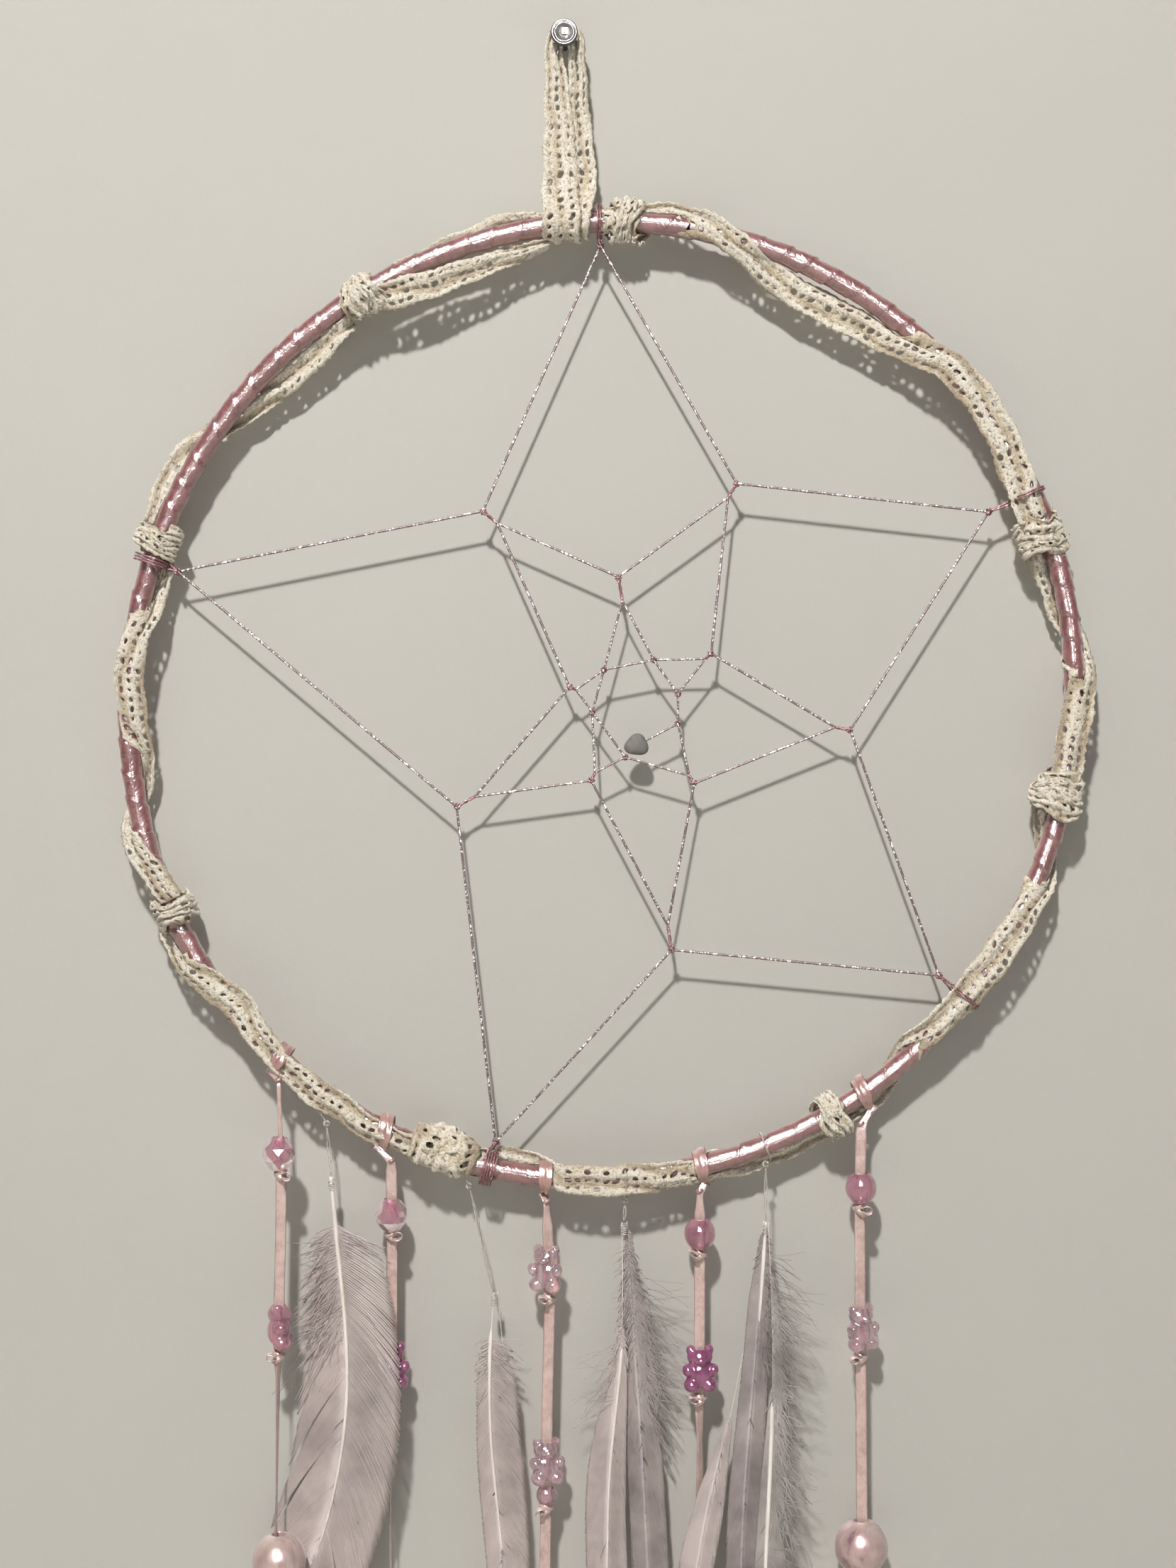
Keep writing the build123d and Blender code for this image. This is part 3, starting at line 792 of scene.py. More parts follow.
# knots of lace: (hoop angle, spread along the hoop, shift away from the hoop's middle, reach across, lean,
# azimuth where the knot starts)
LACE_KNOTS = {
    "lace_knot_1": (328.2, 6.5, -1.0, 7.0, 3.0, -60),
    "lace_knot_2": (290.4, 5.5, 0.3, 6.4, -2.6, 80),
    "lace_knot_3": (245.0, 5.0, -1.3, 7.4, 2.6, 40),
    "lace_knot_4": (199.0, 13.0, -1.8, 8.2, 5.4, -80),
    "lace_knot_5": (149.7, 5.0, 1.3, 6.8, 2.2, 100),
    "lace_knot_6": (102.4, 8.0, -2.4, 7.6, -3.4, -70),
    "lace_knot_7": (70.9, 7.0, -2.6, 7.7, 3.2, 60),
    "lace_knot_8": (2.0, 7.0, 0.2, 6.3, -3.4, 30),
}
# the knots are no deeper than this, front to back, however far they reach across
KNOT_DEPTH = 6.4


def knot_turns(angle, width, turns, shift, reach, lean, start):
    """Line, directions and widths for lace going round the bundle, leaning across the hoop as it goes."""
    centre, out, clockwise = hoop_at(angle)
    centre = centre + out * shift
    line, side, face, widths = [], [], [], []
    steps = int(60 * turns)
    for i in range(steps):
        share = i / (steps - 1)
        phi = radians(start + 360 * turns * share)
        radial = cos(phi) * TOWARDS + sin(phi) * out
        around = cos(phi) * out - sin(phi) * TOWARDS
        swell = 1 + 0.12 * sin(2 * phi + start) + 0.06 * sin(5 * phi + angle) + 0.06 * share
        bundle = (cos(phi) * TOWARDS * min(reach, KNOT_DEPTH) + sin(phi) * out * reach) * swell * 0.92
        line.append(centre + bundle + clockwise * lean * cos(pi * turns * share + start))
        side.append(clockwise + around * 0.45 * sin(pi * turns * share + start))
        face.append(radial)
        widths.append(width * (0.85 + 0.25 * sin(2.3 * phi + start)))
    return np.array(line), unit(np.array(side)), np.array(face), np.array(widths)


def lace_knot(name, values, seed, replaces=()):
    """Lace tied round the bundle: an under layer pulled tight, and an upper layer that crosses it."""
    angle, spread, shift, reach, lean, start = values
    under = knot_turns(angle, spread * 1.45, 1.3, shift * 0.7, reach - 1.2, lean * 0.4, start + 150)
    lay_lace(f"{name}_under", *under, "hoop", seed, folds=2.0, curl=0.06, crumple=0.55, replaces=replaces)
    over = knot_turns(angle, spread * 1.15, 1.7, shift, reach - 0.2, lean, start)
    lay_lace(f"{name}_over", *over, "hoop", seed + 40, folds=2.6, curl=0.05, crumple=0.6)


def lace_knots():
    """All the knots in the lace; the first stands for the CAD part that holds them."""
    for k, (name, values) in enumerate(LACE_KNOTS.items()):
        lace_knot(name, values, seed=61 + k, replaces=["lace_knots"] if k == 0 else ())


def lace_loose_end():
    """The lace's free end, hanging under the hoop beside the loop."""
    keys = [(328.2, -3.0, 4.0, 10), (331, -6.0, 3.5, 11), (336, -8.0, 2.0, 11), (341, -8.4, 1.0, 9),
            (346, -7.4, 0.6, 7.5), (350, -6.2, 0.4, 5.5), (352.2, -5.6, 0.2, 3.0)]
    lay_lace("lace_loose_end", *lace_line(keys), "hoop", 91, folds=1.2, curl=0.01, replaces=["lace_tail"],
             keep_out=CLEAR_OF_SATIN, held="hung")


def hanging_loop():
    """Doubled lace: up from the hoop, round the pin's neck and down again, lapped over itself."""
    foot, _, _ = hoop_at(LOOP_FOOT_ANGLE)
    low = foot[2]
    # (x, y, z, width direction x, z, width) from under the hoop, up on the left and down on the right
    keys = [
        (-0.8, -2.6, low - 1.5, 1, 0, 10.5), (-0.8, -7.6, low - 6.6, 1, 0, 11.0),
        (-0.9, -13.8, low - 3.6, 1, 0, 11.5), (-1.0, -14.4, low + 3.0, 1, 0, 11.0),
        (-1.2, -11.0, low + 9.5, 1, 0, 10.6), (-1.3, -9.6, -42.0, 1, 0, 10.2), (-1.6, -9.2, -30.0, 1, 0, 8.6),
        (-2.2, -8.8, -18.0, 1, 0, 6.9), (-3.1, -8.4, -8.0, 1, 0, 5.0), (-3.6, -8.2, -1.5, 1, -0.1, 4.3),
        (-2.4, -8.1, 2.2, 0.75, -0.65, 3.9), (0.3, -8.1, 3.1, 0, -1, 3.7),
        (3.0, -8.1, 2.2, -0.75, -0.65, 3.9), (4.3, -8.0, -1.5, -1, -0.1, 4.3), (4.0, -7.8, -8.0, -1, 0, 4.6),
        (4.2, -7.6, -18.0, -1, 0, 6.0),
        (4.7, -7.6, -30.0, -1, 0, 7.2), (5.2, -7.8, -42.0, -1, 0, 8.6), (5.2, -9.6, low + 8.5, -1, 0, 9.6),
        (2.9, -13.0, low + 3.0, -1, 0, 9.4), (2.4, -13.0, low - 3.0, -1, 0, 10.0),
        (2.4, -7.8, low - 5.8, -1, 0, 10.0), (2.4, -2.8, low - 1.0, -1, 0, 9.6)]
    line = smooth_path([k[:3] for k in keys], resolution=8)
    share = np.linspace(0, 1, len(keys))
    where = np.linspace(0, 1, len(line))
    tangent = tangents(line)
    side = np.stack([np.interp(where, share, [k[3] for k in keys]), np.zeros(len(line)),
                     np.interp(where, share, [k[4] for k in keys])], axis=1)
    side = unit(side - tangent * (side * tangent).sum(axis=1, keepdims=True))
    face = unit(np.cross(tangent, side))
    outward = line - foot
    outward[:, 0] = 0
    at_foot = line[:, 2] < low + 2
    facing = np.where(at_foot, (face * outward).sum(axis=1), face @ TOWARDS)
    face = face * np.where(facing < 0, -1.0, 1.0)[:, None]
    widths = np.interp(where, share, [k[5] for k in keys])
    lay_lace("loop_lace", line, side, face, widths, "loop", 17, folds=1.6, curl=0.0, crumple=0.32,
             replaces=["hanging_loop", "loop_foot"], held="hung", rests_on=["wall_pin"])


# ---------------------------------------------------------------- web


def twisted(line, radius, twist_pitch, phase=0.0, step=0.45):
    """Two plies twisted together along a line: a tube whose oval section turns as it goes."""
    line = resample(np.asarray(line, float), step)
    s = lengths_of(line)
    turn = np.linspace(0, 2 * pi, 8, endpoint=False)

    def section(i, count):
        spin = 2 * pi * s[i] / twist_pitch + phase
        r = radius * (0.82 + 0.3 * np.cos(turn - spin) ** 2)
        return np.stack([r * np.cos(turn), r * np.sin(turn)], axis=1)

    return sweep(line, section, start_normal=(0.1, -1, 0.05))


# outer anchors, bends of round 1 and where round 2 hooks on, and so on inwards, as (x, z)
ANCHORS = [(11.3, -65.4), (133.0, -148.9), (117.4, -294.2), (-21.6, -346.5), (-121.2, -167.6)]
BENDS_1 = [(-25.6, -148.7), (54.0, -140.0), (89.6, -217.3), (33.6, -286.2), (-33.8, -241.3)]
HOOKS_1 = [(-21.1, -152.4), (51.3, -144.4), (84.9, -216.4), (32.4, -278.6), (-28.2, -238.2)]
BENDS_2 = [(16.9, -169.3), (46.0, -193.3), (40.7, -234.0), (8.4, -233.1), (1.6, -203.8)]
HOOKS_2 = [(18.2, -176.7), (44.2, -195.0), (39.2, -231.6), (9.6, -230.6), (3.6, -204.6)]
# the crossings of the innermost threads
INNER = [(12.4, -198.4), (28.0, -195.3), (8.7, -211.6), (35.6, -206.0), (35.6, -215.3), (19.1, -225.8)]
# the web's thread: its radius and the length of one turn of its twist
THREAD_R, THREAD_PITCH = 0.4, 2.1
# the inner threads and the hooks are thinner and twisted more tightly
FINE_R, FINE_PITCH, FINE_STEP = 0.36, 1.9, 0.4
# the small turns round a bend or a crossing, and the hitches' turns round the hoop
TURN_R, HITCH_THREAD_R = 0.34, 0.3


def thread_knot(centre, wide, deep, tall, count=18):
    """The line of a small knot: a ring facing the viewer that sways forwards and back as it goes round."""
    return np.array([centre + np.array([wide * cos(t), -deep * sin(2 * t), tall * sin(t)])
                     for t in np.linspace(0, 2 * pi, count)])


def flat_point(p):
    """A point of the web, from its (x, z)."""
    return np.array([p[0], HOOP_Y, p[1]])


def bent_thread(corners, radius, pitch, phase):
    """A taut thread through corners, each rounded by a small bend."""
    places = []
    for i, corner in enumerate(corners):
        here = flat_point(corner)
        if 0 < i < len(corners) - 1:
            before = unit(flat_point(corners[i - 1]) - here)
            after = unit(flat_point(corners[i + 1]) - here)
            places += [here + before * 1.3, here + before * 0.25 + after * 0.25, here + after * 1.3]
        else:
            places.append(here)
    line = []
    for a, b in zip(places, places[1:]):
        count = max(int(np.linalg.norm(b - a) / 3), 2)
        line += [a + (b - a) * t for t in np.linspace(0, 1, count, endpoint=False)]
    line.append(places[-1])
    return twisted(line, radius, pitch, phase)


def hitch_loop(bend, hook, seed):
    """The next round's thread doubled over a bend: two strands that cross once, and a turn at the bend."""
    rng = random.Random(seed)
    a, b = flat_point(bend), flat_point(hook)
    along = unit(b - a)
    side = np.cross(along, TOWARDS)
    reach = np.linalg.norm(b - a)
    parts = []
    for sign in (-1, 1):
        points = [a - along * 0.7 + TOWARDS * 0.5 * sign, a + along * 0.2 + side * 0.8 * sign + TOWARDS * 0.7,
                  a + along * reach * 0.45 - side * 0.45 * sign + TOWARDS * 0.35 * sign,
                  a + along * reach * 0.8 + side * 0.4 * sign, b]
        route = smooth_path(points, resolution=6)
        parts.append(twisted(route, FINE_R, FINE_PITCH, rng.uniform(0, 6), FINE_STEP))
    ring = [a + along * 0.35 + side * 0.85 * cos(t) + TOWARDS * 0.75 * sin(t)
            for t in np.linspace(0, 2 * pi, 15)]
    parts.append(twisted(ring, TURN_R, FINE_PITCH, 1.0, FINE_STEP))
    return join(parts)


def web():
    """Three rounds of silver thread, each hung on the bends of the one outside it, and the pink hooks."""
    rng = random.Random(5)

    def silver(name, routes, radius, pitch, node, last=()):
        threads = [bent_thread(route, radius, pitch, rng.uniform(0, 6)) for route in routes]
        add_piece(name, join(threads + list(last)), "hoop", MAT_SILVER, [node])

    first = [[ANCHORS[i - 1], BENDS_1[i], ANCHORS[i]] for i in range(5)]
    silver("web_outer_round", first, THREAD_R, THREAD_PITCH, "web_round_1")
    second = [[HOOKS_1[i], BENDS_2[i], HOOKS_1[(i + 1) % 5]] for i in range(5)]
    silver("web_second_round", second, THREAD_R, THREAD_PITCH, "web_round_2")
    m1, m2, m3, m4, m5 = HOOKS_2
    p1, p2, q5, q2, r2, c = INNER
    third = [[m5, p1, m1], [m1, p2, m2], [p1, p2], [m5, q5, p1], [p2, q2, m2], [q5, m4], [m3, r2, q2],
             [q5, c], [m4, c, m3]]
    charm = centre_of("stone_charm")
    charm_thread = bent_thread([r2, (charm[0] - 1.2, charm[2] - 0.6)], FINE_R, FINE_PITCH, 2.0)
    silver("web_centre", third, FINE_R, FINE_PITCH, "web_round_3", [charm_thread])
    hooks = [hitch_loop(a, b, 7 + i) for i, (a, b) in enumerate(zip(BENDS_1 + BENDS_2, HOOKS_1 + HOOKS_2))]
    for i, crossing in enumerate(INNER):
        knot = thread_knot(flat_point(crossing), 0.75, 0.6, 0.75)
        hooks.append(twisted(knot, TURN_R, FINE_PITCH, i, FINE_STEP))
    add_piece("web_hooks", join(hooks), "hoop", MAT_PINK_THREAD)


# the hitches' turns lie this far from the hoop's centre line
HITCH_R = 5.1
# where the web is hitched to the hoop: (hoop angle, anchor, turns, spread along the hoop, shift inwards)
WEB_HITCHES = [(-1.6, ANCHORS[0], 2, 1.6, 0.0), (65.6, ANCHORS[1], 2, 1.4, 1.7),
               (129.0, ANCHORS[2], 2, 1.6, 0.6), (192.8, ANCHORS[3], 5, 4.2, 0.0),
               (287.9, ANCHORS[4], 3, 2.6, 0.0)]


def web_hitches():
    """Pink thread wound round the hoop at each anchor, with two ties down to a knot at the anchor."""
    parts = []
    for k, (angle, anchor, turns, spread, inward) in enumerate(WEB_HITCHES):
        rng = random.Random(40 + k)
        centre, out, clockwise = hoop_at(angle)
        centre = centre - out * inward
        points = []
        for i in range(turns * 16 + 1):
            t = 2 * pi * i / 16
            radial = -cos(t) * out + sin(t) * TOWARDS
            shift = spread * (i / (turns * 16) - 0.5) + rng.uniform(-0.12, 0.12)
            reach = HITCH_R + 0.15 * sin(3 * t) + 0.9 * max(sin(t), 0)
            points.append(centre + radial * reach + clockwise * shift)
        parts.append(twisted(points, HITCH_THREAD_R, FINE_PITCH, 0.0, 0.5))
        low, end = centre - out * HITCH_R, flat_point(anchor)
        for sign in (-1, 1):
            tie = [low + clockwise * spread * 0.4 * sign, (low + end) / 2 + clockwise * 0.35 * sign, end]
            parts.append(twisted(smooth_path(tie, resolution=6), FINE_R, FINE_PITCH, sign, FINE_STEP))
        parts.append(twisted(thread_knot(end, 0.85, 0.8, 0.9), FINE_R, FINE_PITCH, 0.5, FINE_STEP))
    add_piece("web_hitch_threads", join(parts), "hoop", MAT_PINK_THREAD, ["web_hitches"])


def stone_charm():
    """A tumbled stone: a rounded triangle with softened faces."""
    low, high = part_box("stone_charm")
    centre = centre_of("stone_charm")
    wide, deep, tall = [(high[k] - low[k]) / 2 / MM for k in range(3)]
    sides, rows = 40, 14
    verts = []
    for i in range(rows + 1):
        lat = pi * i / rows
        for k in range(sides):
            t = 2 * pi * k / sides
            outline = 1 - 0.1 * cos(3 * (t - 0.4))
            swell = 1.02 * outline * abs(sin(lat)) ** 0.6
            verts.append(centre + np.array([wide * swell * cos(t), -deep * cos(lat), tall * swell * sin(t)]))
    geometry = (verts, ring_faces(rows + 1, sides))
    add_piece("grey_charm", geometry, "charm", MAT_STONE, ["stone_charm"])


# ---------------------------------------------------------------- pin


ON_AXIS = 0.001
LENS_R = 3.15


def wall_pin():
    """The pin's turned body, with a rolled rim round its head, and the clear dome set in the head."""
    low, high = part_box("wall_pin")
    front, tip = low[1] / MM, high[1] / MM
    back = front + 2.4
    # (radius, y) from the point to the middle of the head
    body = [(ON_AXIS, tip), (1.15, tip - 2.6), (1.2, tip - 3.2), (1.2, 0), (1.4, -0.4), (1.4, back + 0.4),
            (2.0, back), (3.6, back - 0.1), (4.1, back - 0.5), (4.3, back - 1.1), (4.25, back - 1.7),
            (4.05, back - 2.15), (3.75, back - 2.4), (3.45, back - 2.2), (3.2, back - 1.5), (1.7, back - 1.1),
            (ON_AXIS, back - 1.45)]
    chrome = lathe([(r, -y) for r, y in body], (0, 0, 0), TOWARDS, 56)
    add_piece("pin_chrome", chrome, "pin", MAT_CHROME, ["wall_pin"])
    dome = [(ON_AXIS, -(front + 0.95)), (LENS_R, -(front + 0.9))]
    dome += [(r, -(front + 0.85 - 0.6 * (r / LENS_R) ** 2)) for r in np.linspace(LENS_R, ON_AXIS, 10)]
    lens = lathe(dome, (0, 0, 0), TOWARDS)
    add_piece("pin_lens", lens, "pin", MAT_LENS, ["pin_cap"])


# ---------------------------------------------------------------- ribbon strands and beads

EDGE_ON_LOW = ([0.0, 0.46, 0.58, 1.0], [0.0, 0.1, 1.35, 1.45])
FULL = ([0.0, 0.02, 0.035, 0.06, 1.0], [0.85, 0.6, 0.6, 1.0, 1.0])
# for each strand: the hoop angle of its tie and how far the tie leans, its beads, how far its ribbon bows,
# its twist and width (shares along it, values there), and its curls' sides
STRANDS = {
    1: {"angle": 222.0, "lean": 1.5, "beads": ["faceted_bead_1", "bear_bead_1", "pearl_1"], "bow": 1.0,
        "twist": EDGE_ON_LOW, "width": ([0.0, 0.16, 0.2, 1.0], [0.36, 0.4, 0.95, 1.0]), "curls": [1, -1]},
    2: {"angle": 205.6, "lean": 3.5, "beads": ["faceted_bead_2", "bear_bead_2", "pearl_2"], "bow": 0.6,
        "twist": EDGE_ON_LOW, "width": FULL, "curls": [1, 1]},
    3: {"angle": 185.5, "lean": 0.5,
        "beads": ["upper_bear_bead_3", "lower_bear_bead_3", "small_bead_3", "pearl_3"], "bow": 1.3,
        "twist": ([0.0, 0.08, 0.2, 1.0], [0.5, 0.4, 0.0, 0.1]), "width": FULL, "curls": [-1, 1, -1]},
    4: {"angle": 166.4, "lean": -0.8, "beads": ["round_bead_4", "bear_bead_4", "pearl_4"], "bow": -0.3,
        "twist": ([0.0, 0.36, 0.46, 0.6, 1.0], [0.0, 0.1, 0.9, 0.5, 0.2]), "width": FULL, "curls": [-1, -1]},
    5: {"angle": 145.8, "lean": -2.0, "beads": ["round_bead_5", "bear_bead_5", "pearl_5"], "bow": -0.7,
        "twist": ([0.0, 1.0], [0.0, 0.0]), "width": FULL, "curls": [1, -1]},
}
RIBBON_WIDE = 3.5
RIBBON_THICK = 0.3
# sections of a flat ribbon and of a knot's band: (share of the width, outward)
RIBBON_SECTION = [(-0.5, 0.3), (-0.3, 0.5), (0.0, 0.52), (0.3, 0.5), (0.5, 0.3), (0.5, -0.3), (0.3, -0.5),
                  (0.0, -0.52), (-0.3, -0.5), (-0.5, -0.3)]
BAND_SECTION = [(-0.5, 0.0), (-0.25, 0.22), (0.0, 0.3), (0.25, 0.22), (0.5, 0.0), (0.25, -0.1), (0.0, -0.08),
                (-0.25, -0.1)]
# a stop knot hangs this far under the foot of its bead
KNOT_DROP = 1.9
# the tie's ring lies this far from the hoop's centre line, and the ribbon leaves from just outside it
TIE_R, RIBBON_START = 5.0, 5.3


def ribbon_band(line, widths, turns, thick=RIBBON_THICK):
    """A flat ribbon along a line: turns is the angle of its face at each point, 0 facing the viewer."""
    tangent = tangents(line)
    verts, marks = [], []
    s = lengths_of(line)
    for i, point in enumerate(line):
        side = np.cross(tangent[i], TOWARDS)
        if np.linalg.norm(side) < 0.05:
            side = np.array([1.0, 0, 0])
        side = unit(side)
        face = unit(np.cross(side, tangent[i]))
        c, d = cos(turns[i]), sin(turns[i])
        side, face = side * c + face * d, face * c - side * d
        for a, b in RIBBON_SECTION:
            verts.append(point + side * a * widths[i] + face * b * thick)
            marks.append((s[i], a + 0.5, 0.0))
    return (np.array(verts), capped_faces(len(line), len(RIBBON_SECTION))), np.array(marks)


def wrap_band(centre, reach, tilt, lift, width, start, turns=1.15):
    """A narrow band of ribbon taken round the strand, tilted, for one of a knot's turns."""
    line = []
    for t in np.linspace(start, start + 2 * pi * turns, 30):
        x, y = reach * cos(t), 0.8 * reach * sin(t)
        line.append(centre + np.array([x * cos(tilt), y, x * sin(tilt) + lift * t / (2 * pi)]))
    line = np.array(line)
    tangent = tangents(line)
    outward = unit(line - centre)
    verts, marks = [], []
    s = lengths_of(line)
    for i in range(len(line)):
        across = unit(np.cross(tangent[i], outward[i]))
        for a, b in BAND_SECTION:
            verts.append(line[i] + across * a * width + outward[i] * b)
            marks.append((s[i], a + 0.5, 0.0))
    return (np.array(verts), capped_faces(len(line), len(BAND_SECTION))), np.array(marks)


def curl(centre, side, size, seed):
    """A small open loop of ribbon that stands off a knot, seen edge on."""
    rng = random.Random(seed)
    lean = rng.uniform(-0.5, 0.5)
    line = []
    for t in np.linspace(0.2, 2 * pi - 0.4, 26):
        x = side * size * (1 - cos(t)) * 0.95
        z = size * 0.75 * sin(t)
        rise = x * sin(lean) * side + z * cos(lean)
        line.append(centre + np.array([x * cos(lean) - z * sin(lean), -0.3 * t / pi, rise]))
    line = np.array(line)
    return ribbon_band(line, np.full(len(line), 1.9), np.full(len(line), pi / 2 + 0.25), 0.4)


def stop_knot(centre, side, seed):
    """The ribbon's knot under a bead: two crossing turns and one small curl."""
    rng = random.Random(seed)
    bands = [wrap_band(centre + np.array([0, 0, 0.7]), 1.9, 0.5 * side, -0.4, 2.1, rng.uniform(0, 6)),
             wrap_band(centre + np.array([0, 0, -0.6]), 1.8, -0.6 * side, -0.5, 2.0, rng.uniform(0, 6)),
             curl(centre + np.array([side * 0.6, -1.9, -0.3]), side, 1.45, seed)]
    return join([b[0] for b in bands]), np.concatenate([b[1] for b in bands])


def strand(number, facts):
    """One strand without its beads: gives the ribbon, the ribbon's line and the knots under the beads."""
    knot_body, body = f"strand_{number}_knot", f"strand_{number}"
    low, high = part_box(f"ribbon_{number}")
    x, y = (low[0] + high[0]) / 2 / MM, (low[1] + high[1]) / 2 / MM
    pivot = joint_place(f"strand_{number}_swing")
    top, bottom = high[2] / MM, low[2] / MM
    rng = random.Random(100 + number)
    heights = np.linspace(top, bottom, 9)
    bow = facts["bow"]
    ring_centre, out, clockwise = hoop_at(facts["angle"])
    tie_foot = ring_centre + out * RIBBON_START + clockwise * facts["lean"]
    route = [tie_foot, pivot, (pivot[0] * 0.4 + x * 0.6, y, top)]
    for i, z in enumerate(heights[1:-1]):
        route.append((x + bow * (1 - (i + 1) / 4) + rng.uniform(-0.2, 0.2), y + rng.uniform(-0.2, 0.2), z))
    route.append((x - bow, y, bottom))
    line = resample(smooth_path(route, resolution=12), 0.9)
    share = lengths_of(line) / lengths_of(line)[-1]
    turns = np.array([0.16 * sin(9 * t + number) for t in share])
    turns = turns + np.interp(share, facts["twist"][0], facts["twist"][1])
    widths = RIBBON_WIDE * np.interp(share, facts["width"][0], facts["width"][1])
    band, marks = ribbon_band(line, widths, turns)
    ribbon = add_piece(f"ribbon_strand_{number}", band, body, MAT_RIBBON,
                       [f"ribbon_{number}"], lay=marks)
    pinch, pinch_marks = wrap_band(pivot + np.array([0, 0, 0.2]), 1.0, 0.5, -0.3, 1.2, 0.4)
    add_piece(f"top_knot_{number}", pinch, knot_body, MAT_TIE, [f"ribbon_knot_{number}"],
              lay=pinch_marks)
    pieces = []
    beads = facts["beads"]
    for i, name in enumerate(beads):
        if i + 1 < len(beads) and beads[i + 1].startswith("small"):
            continue
        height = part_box(name)[0][2] / MM - KNOT_DROP
        middle = np.interp(height, line[::-1, 2], line[::-1, 0])
        side = facts["curls"][i % len(facts["curls"])]
        geometry, knot_marks = stop_knot(np.array([middle, y, height]), side, 200 + number * 10 + i)
        pieces.append(add_piece(f"stop_knot_{number}_{i + 1}", geometry, body, MAT_RIBBON,
                                lay=knot_marks))
    return ribbon, line, pieces


TIE_POINTS = 64
# points across one of the tie's two faces
TIE_ACROSS = np.linspace(-0.5, 0.5, 15)


def tie_rings():
    """Each strand's ribbon taken once round the hoop: folded along its length, pinched at the bottom."""
    parts, marks = [], []
    for number, facts in STRANDS.items():
        centre, out, clockwise = hoop_at(facts["angle"])
        line, side, widths = [], [], []
        for share in np.arange(TIE_POINTS) / (TIE_POINTS - 1):
            phi = pi / 2 - 2 * pi * share
            from_below = 0.5 - 0.5 * sin(phi)
            radial = cos(phi) * TOWARDS + sin(phi) * out
            line.append(centre + radial * (TIE_R + 0.2 * share) + clockwise * facts["lean"] * from_below)
            side.append(radial)
            widths.append(2.2 + 2.2 * min(1.0, from_below * 2.2))
        line = np.array(line)
        tangent = tangents(line)
        verts, lay = [], []
        s = lengths_of(line)
        for i in range(TIE_POINTS):
            across = unit(np.cross(tangent[i], side[i]))
            for sheet, row in ((0.12, TIE_ACROSS), (-0.12, TIE_ACROSS[::-1])):
                for a in row:
                    fold = 0.5 * np.clip((a + 0.12 + 0.1 * sin(0.25 * s[i] + number)) * 7, 0, 1)
                    ripple = 0.1 * cos(9 * a + 0.4 * s[i] + number)
                    verts.append(line[i] + across * a * widths[i] + side[i] * (fold + ripple + sheet - 0.2))
                    lay.append((s[i], a + 0.5, 0))
        parts.append((np.array(verts), capped_faces(TIE_POINTS, 2 * len(TIE_ACROSS))))
        marks.append(np.array(lay))
    add_piece("ribbon_turns", join(parts), "hoop", MAT_TIE, ["ribbon_ties"],
              lay=np.concatenate(marks))


def bored_ball(centre, radius, bore, flatten):
    """A ball with a hole through it along Z and a softened mouth."""
    start = np.arcsin((bore + 0.25) / radius)
    outline = [(radius * sin(t), radius * cos(t) * flatten) for t in np.linspace(start, pi - start, 22)]
    top = outline[0][1]
    mouth = [(bore, top - 0.35), (bore + 0.08, top - 0.12)]
    outline = mouth + outline + [(r, -h) for r, h in reversed(mouth)]
    return lathe(outline, centre, (0, 0, 1))


def faceted_ball(centre, radius, bore, spin):
    """A cut bead: flat facets in staggered rows round the bore."""
    verts, faces = [], []
    # (radius, share of the height) down the outside, then up the bore
    rows = [(bore + 0.2, 0.93), (0.62 * radius, 0.78), (0.93 * radius, 0.36), (radius, 0.0),
            (0.93 * radius, -0.36), (0.62 * radius, -0.78), (bore + 0.2, -0.93), (bore, -0.8), (bore, 0.8)]
    sides = 9
    for i, (r, h) in enumerate(rows):
        for k in range(sides):
            t = 2 * pi * (k + 0.5 * (i % 2 if i < 7 else 0)) / sides + spin
            verts.append(centre + np.array([r * cos(t), r * sin(t), h * radius * 1.05]))
    count = len(rows)
    for i in range(count):
        j = (i + 1) % count
        for k in range(sides):
            m = (k + 1) % sides
            a, b, c, d = i * sides + k, i * sides + m, j * sides + m, j * sides + k
            if i % 2 == 0:
                faces += [(a, b, d), (b, c, d)]
            else:
                faces += [(a, b, c), (a, c, d)]
    return np.array(verts), faces


def turned(angle):
    """The matrix that turns points about Z."""
    return np.array([[cos(angle), -sin(angle), 0], [sin(angle), cos(angle), 0], [0, 0, 1]])


def ellipsoid(centre, radii, lean=0.0, rows=14, sides=20):
    """An ellipsoid that leans about Y."""
    verts = []
    for i in range(rows + 1):
        lat = pi * i / rows
        for k in range(sides):
            t = 2 * pi * k / sides
            x, y, z = radii[0] * sin(lat) * cos(t), radii[1] * sin(lat) * sin(t), radii[2] * cos(lat)
            leaned = np.array([x * cos(lean) + z * sin(lean), y, z * cos(lean) - x * sin(lean)])
            verts.append(np.asarray(centre) + leaned)
    return np.array(verts), ring_faces(rows + 1, sides, flip=True)


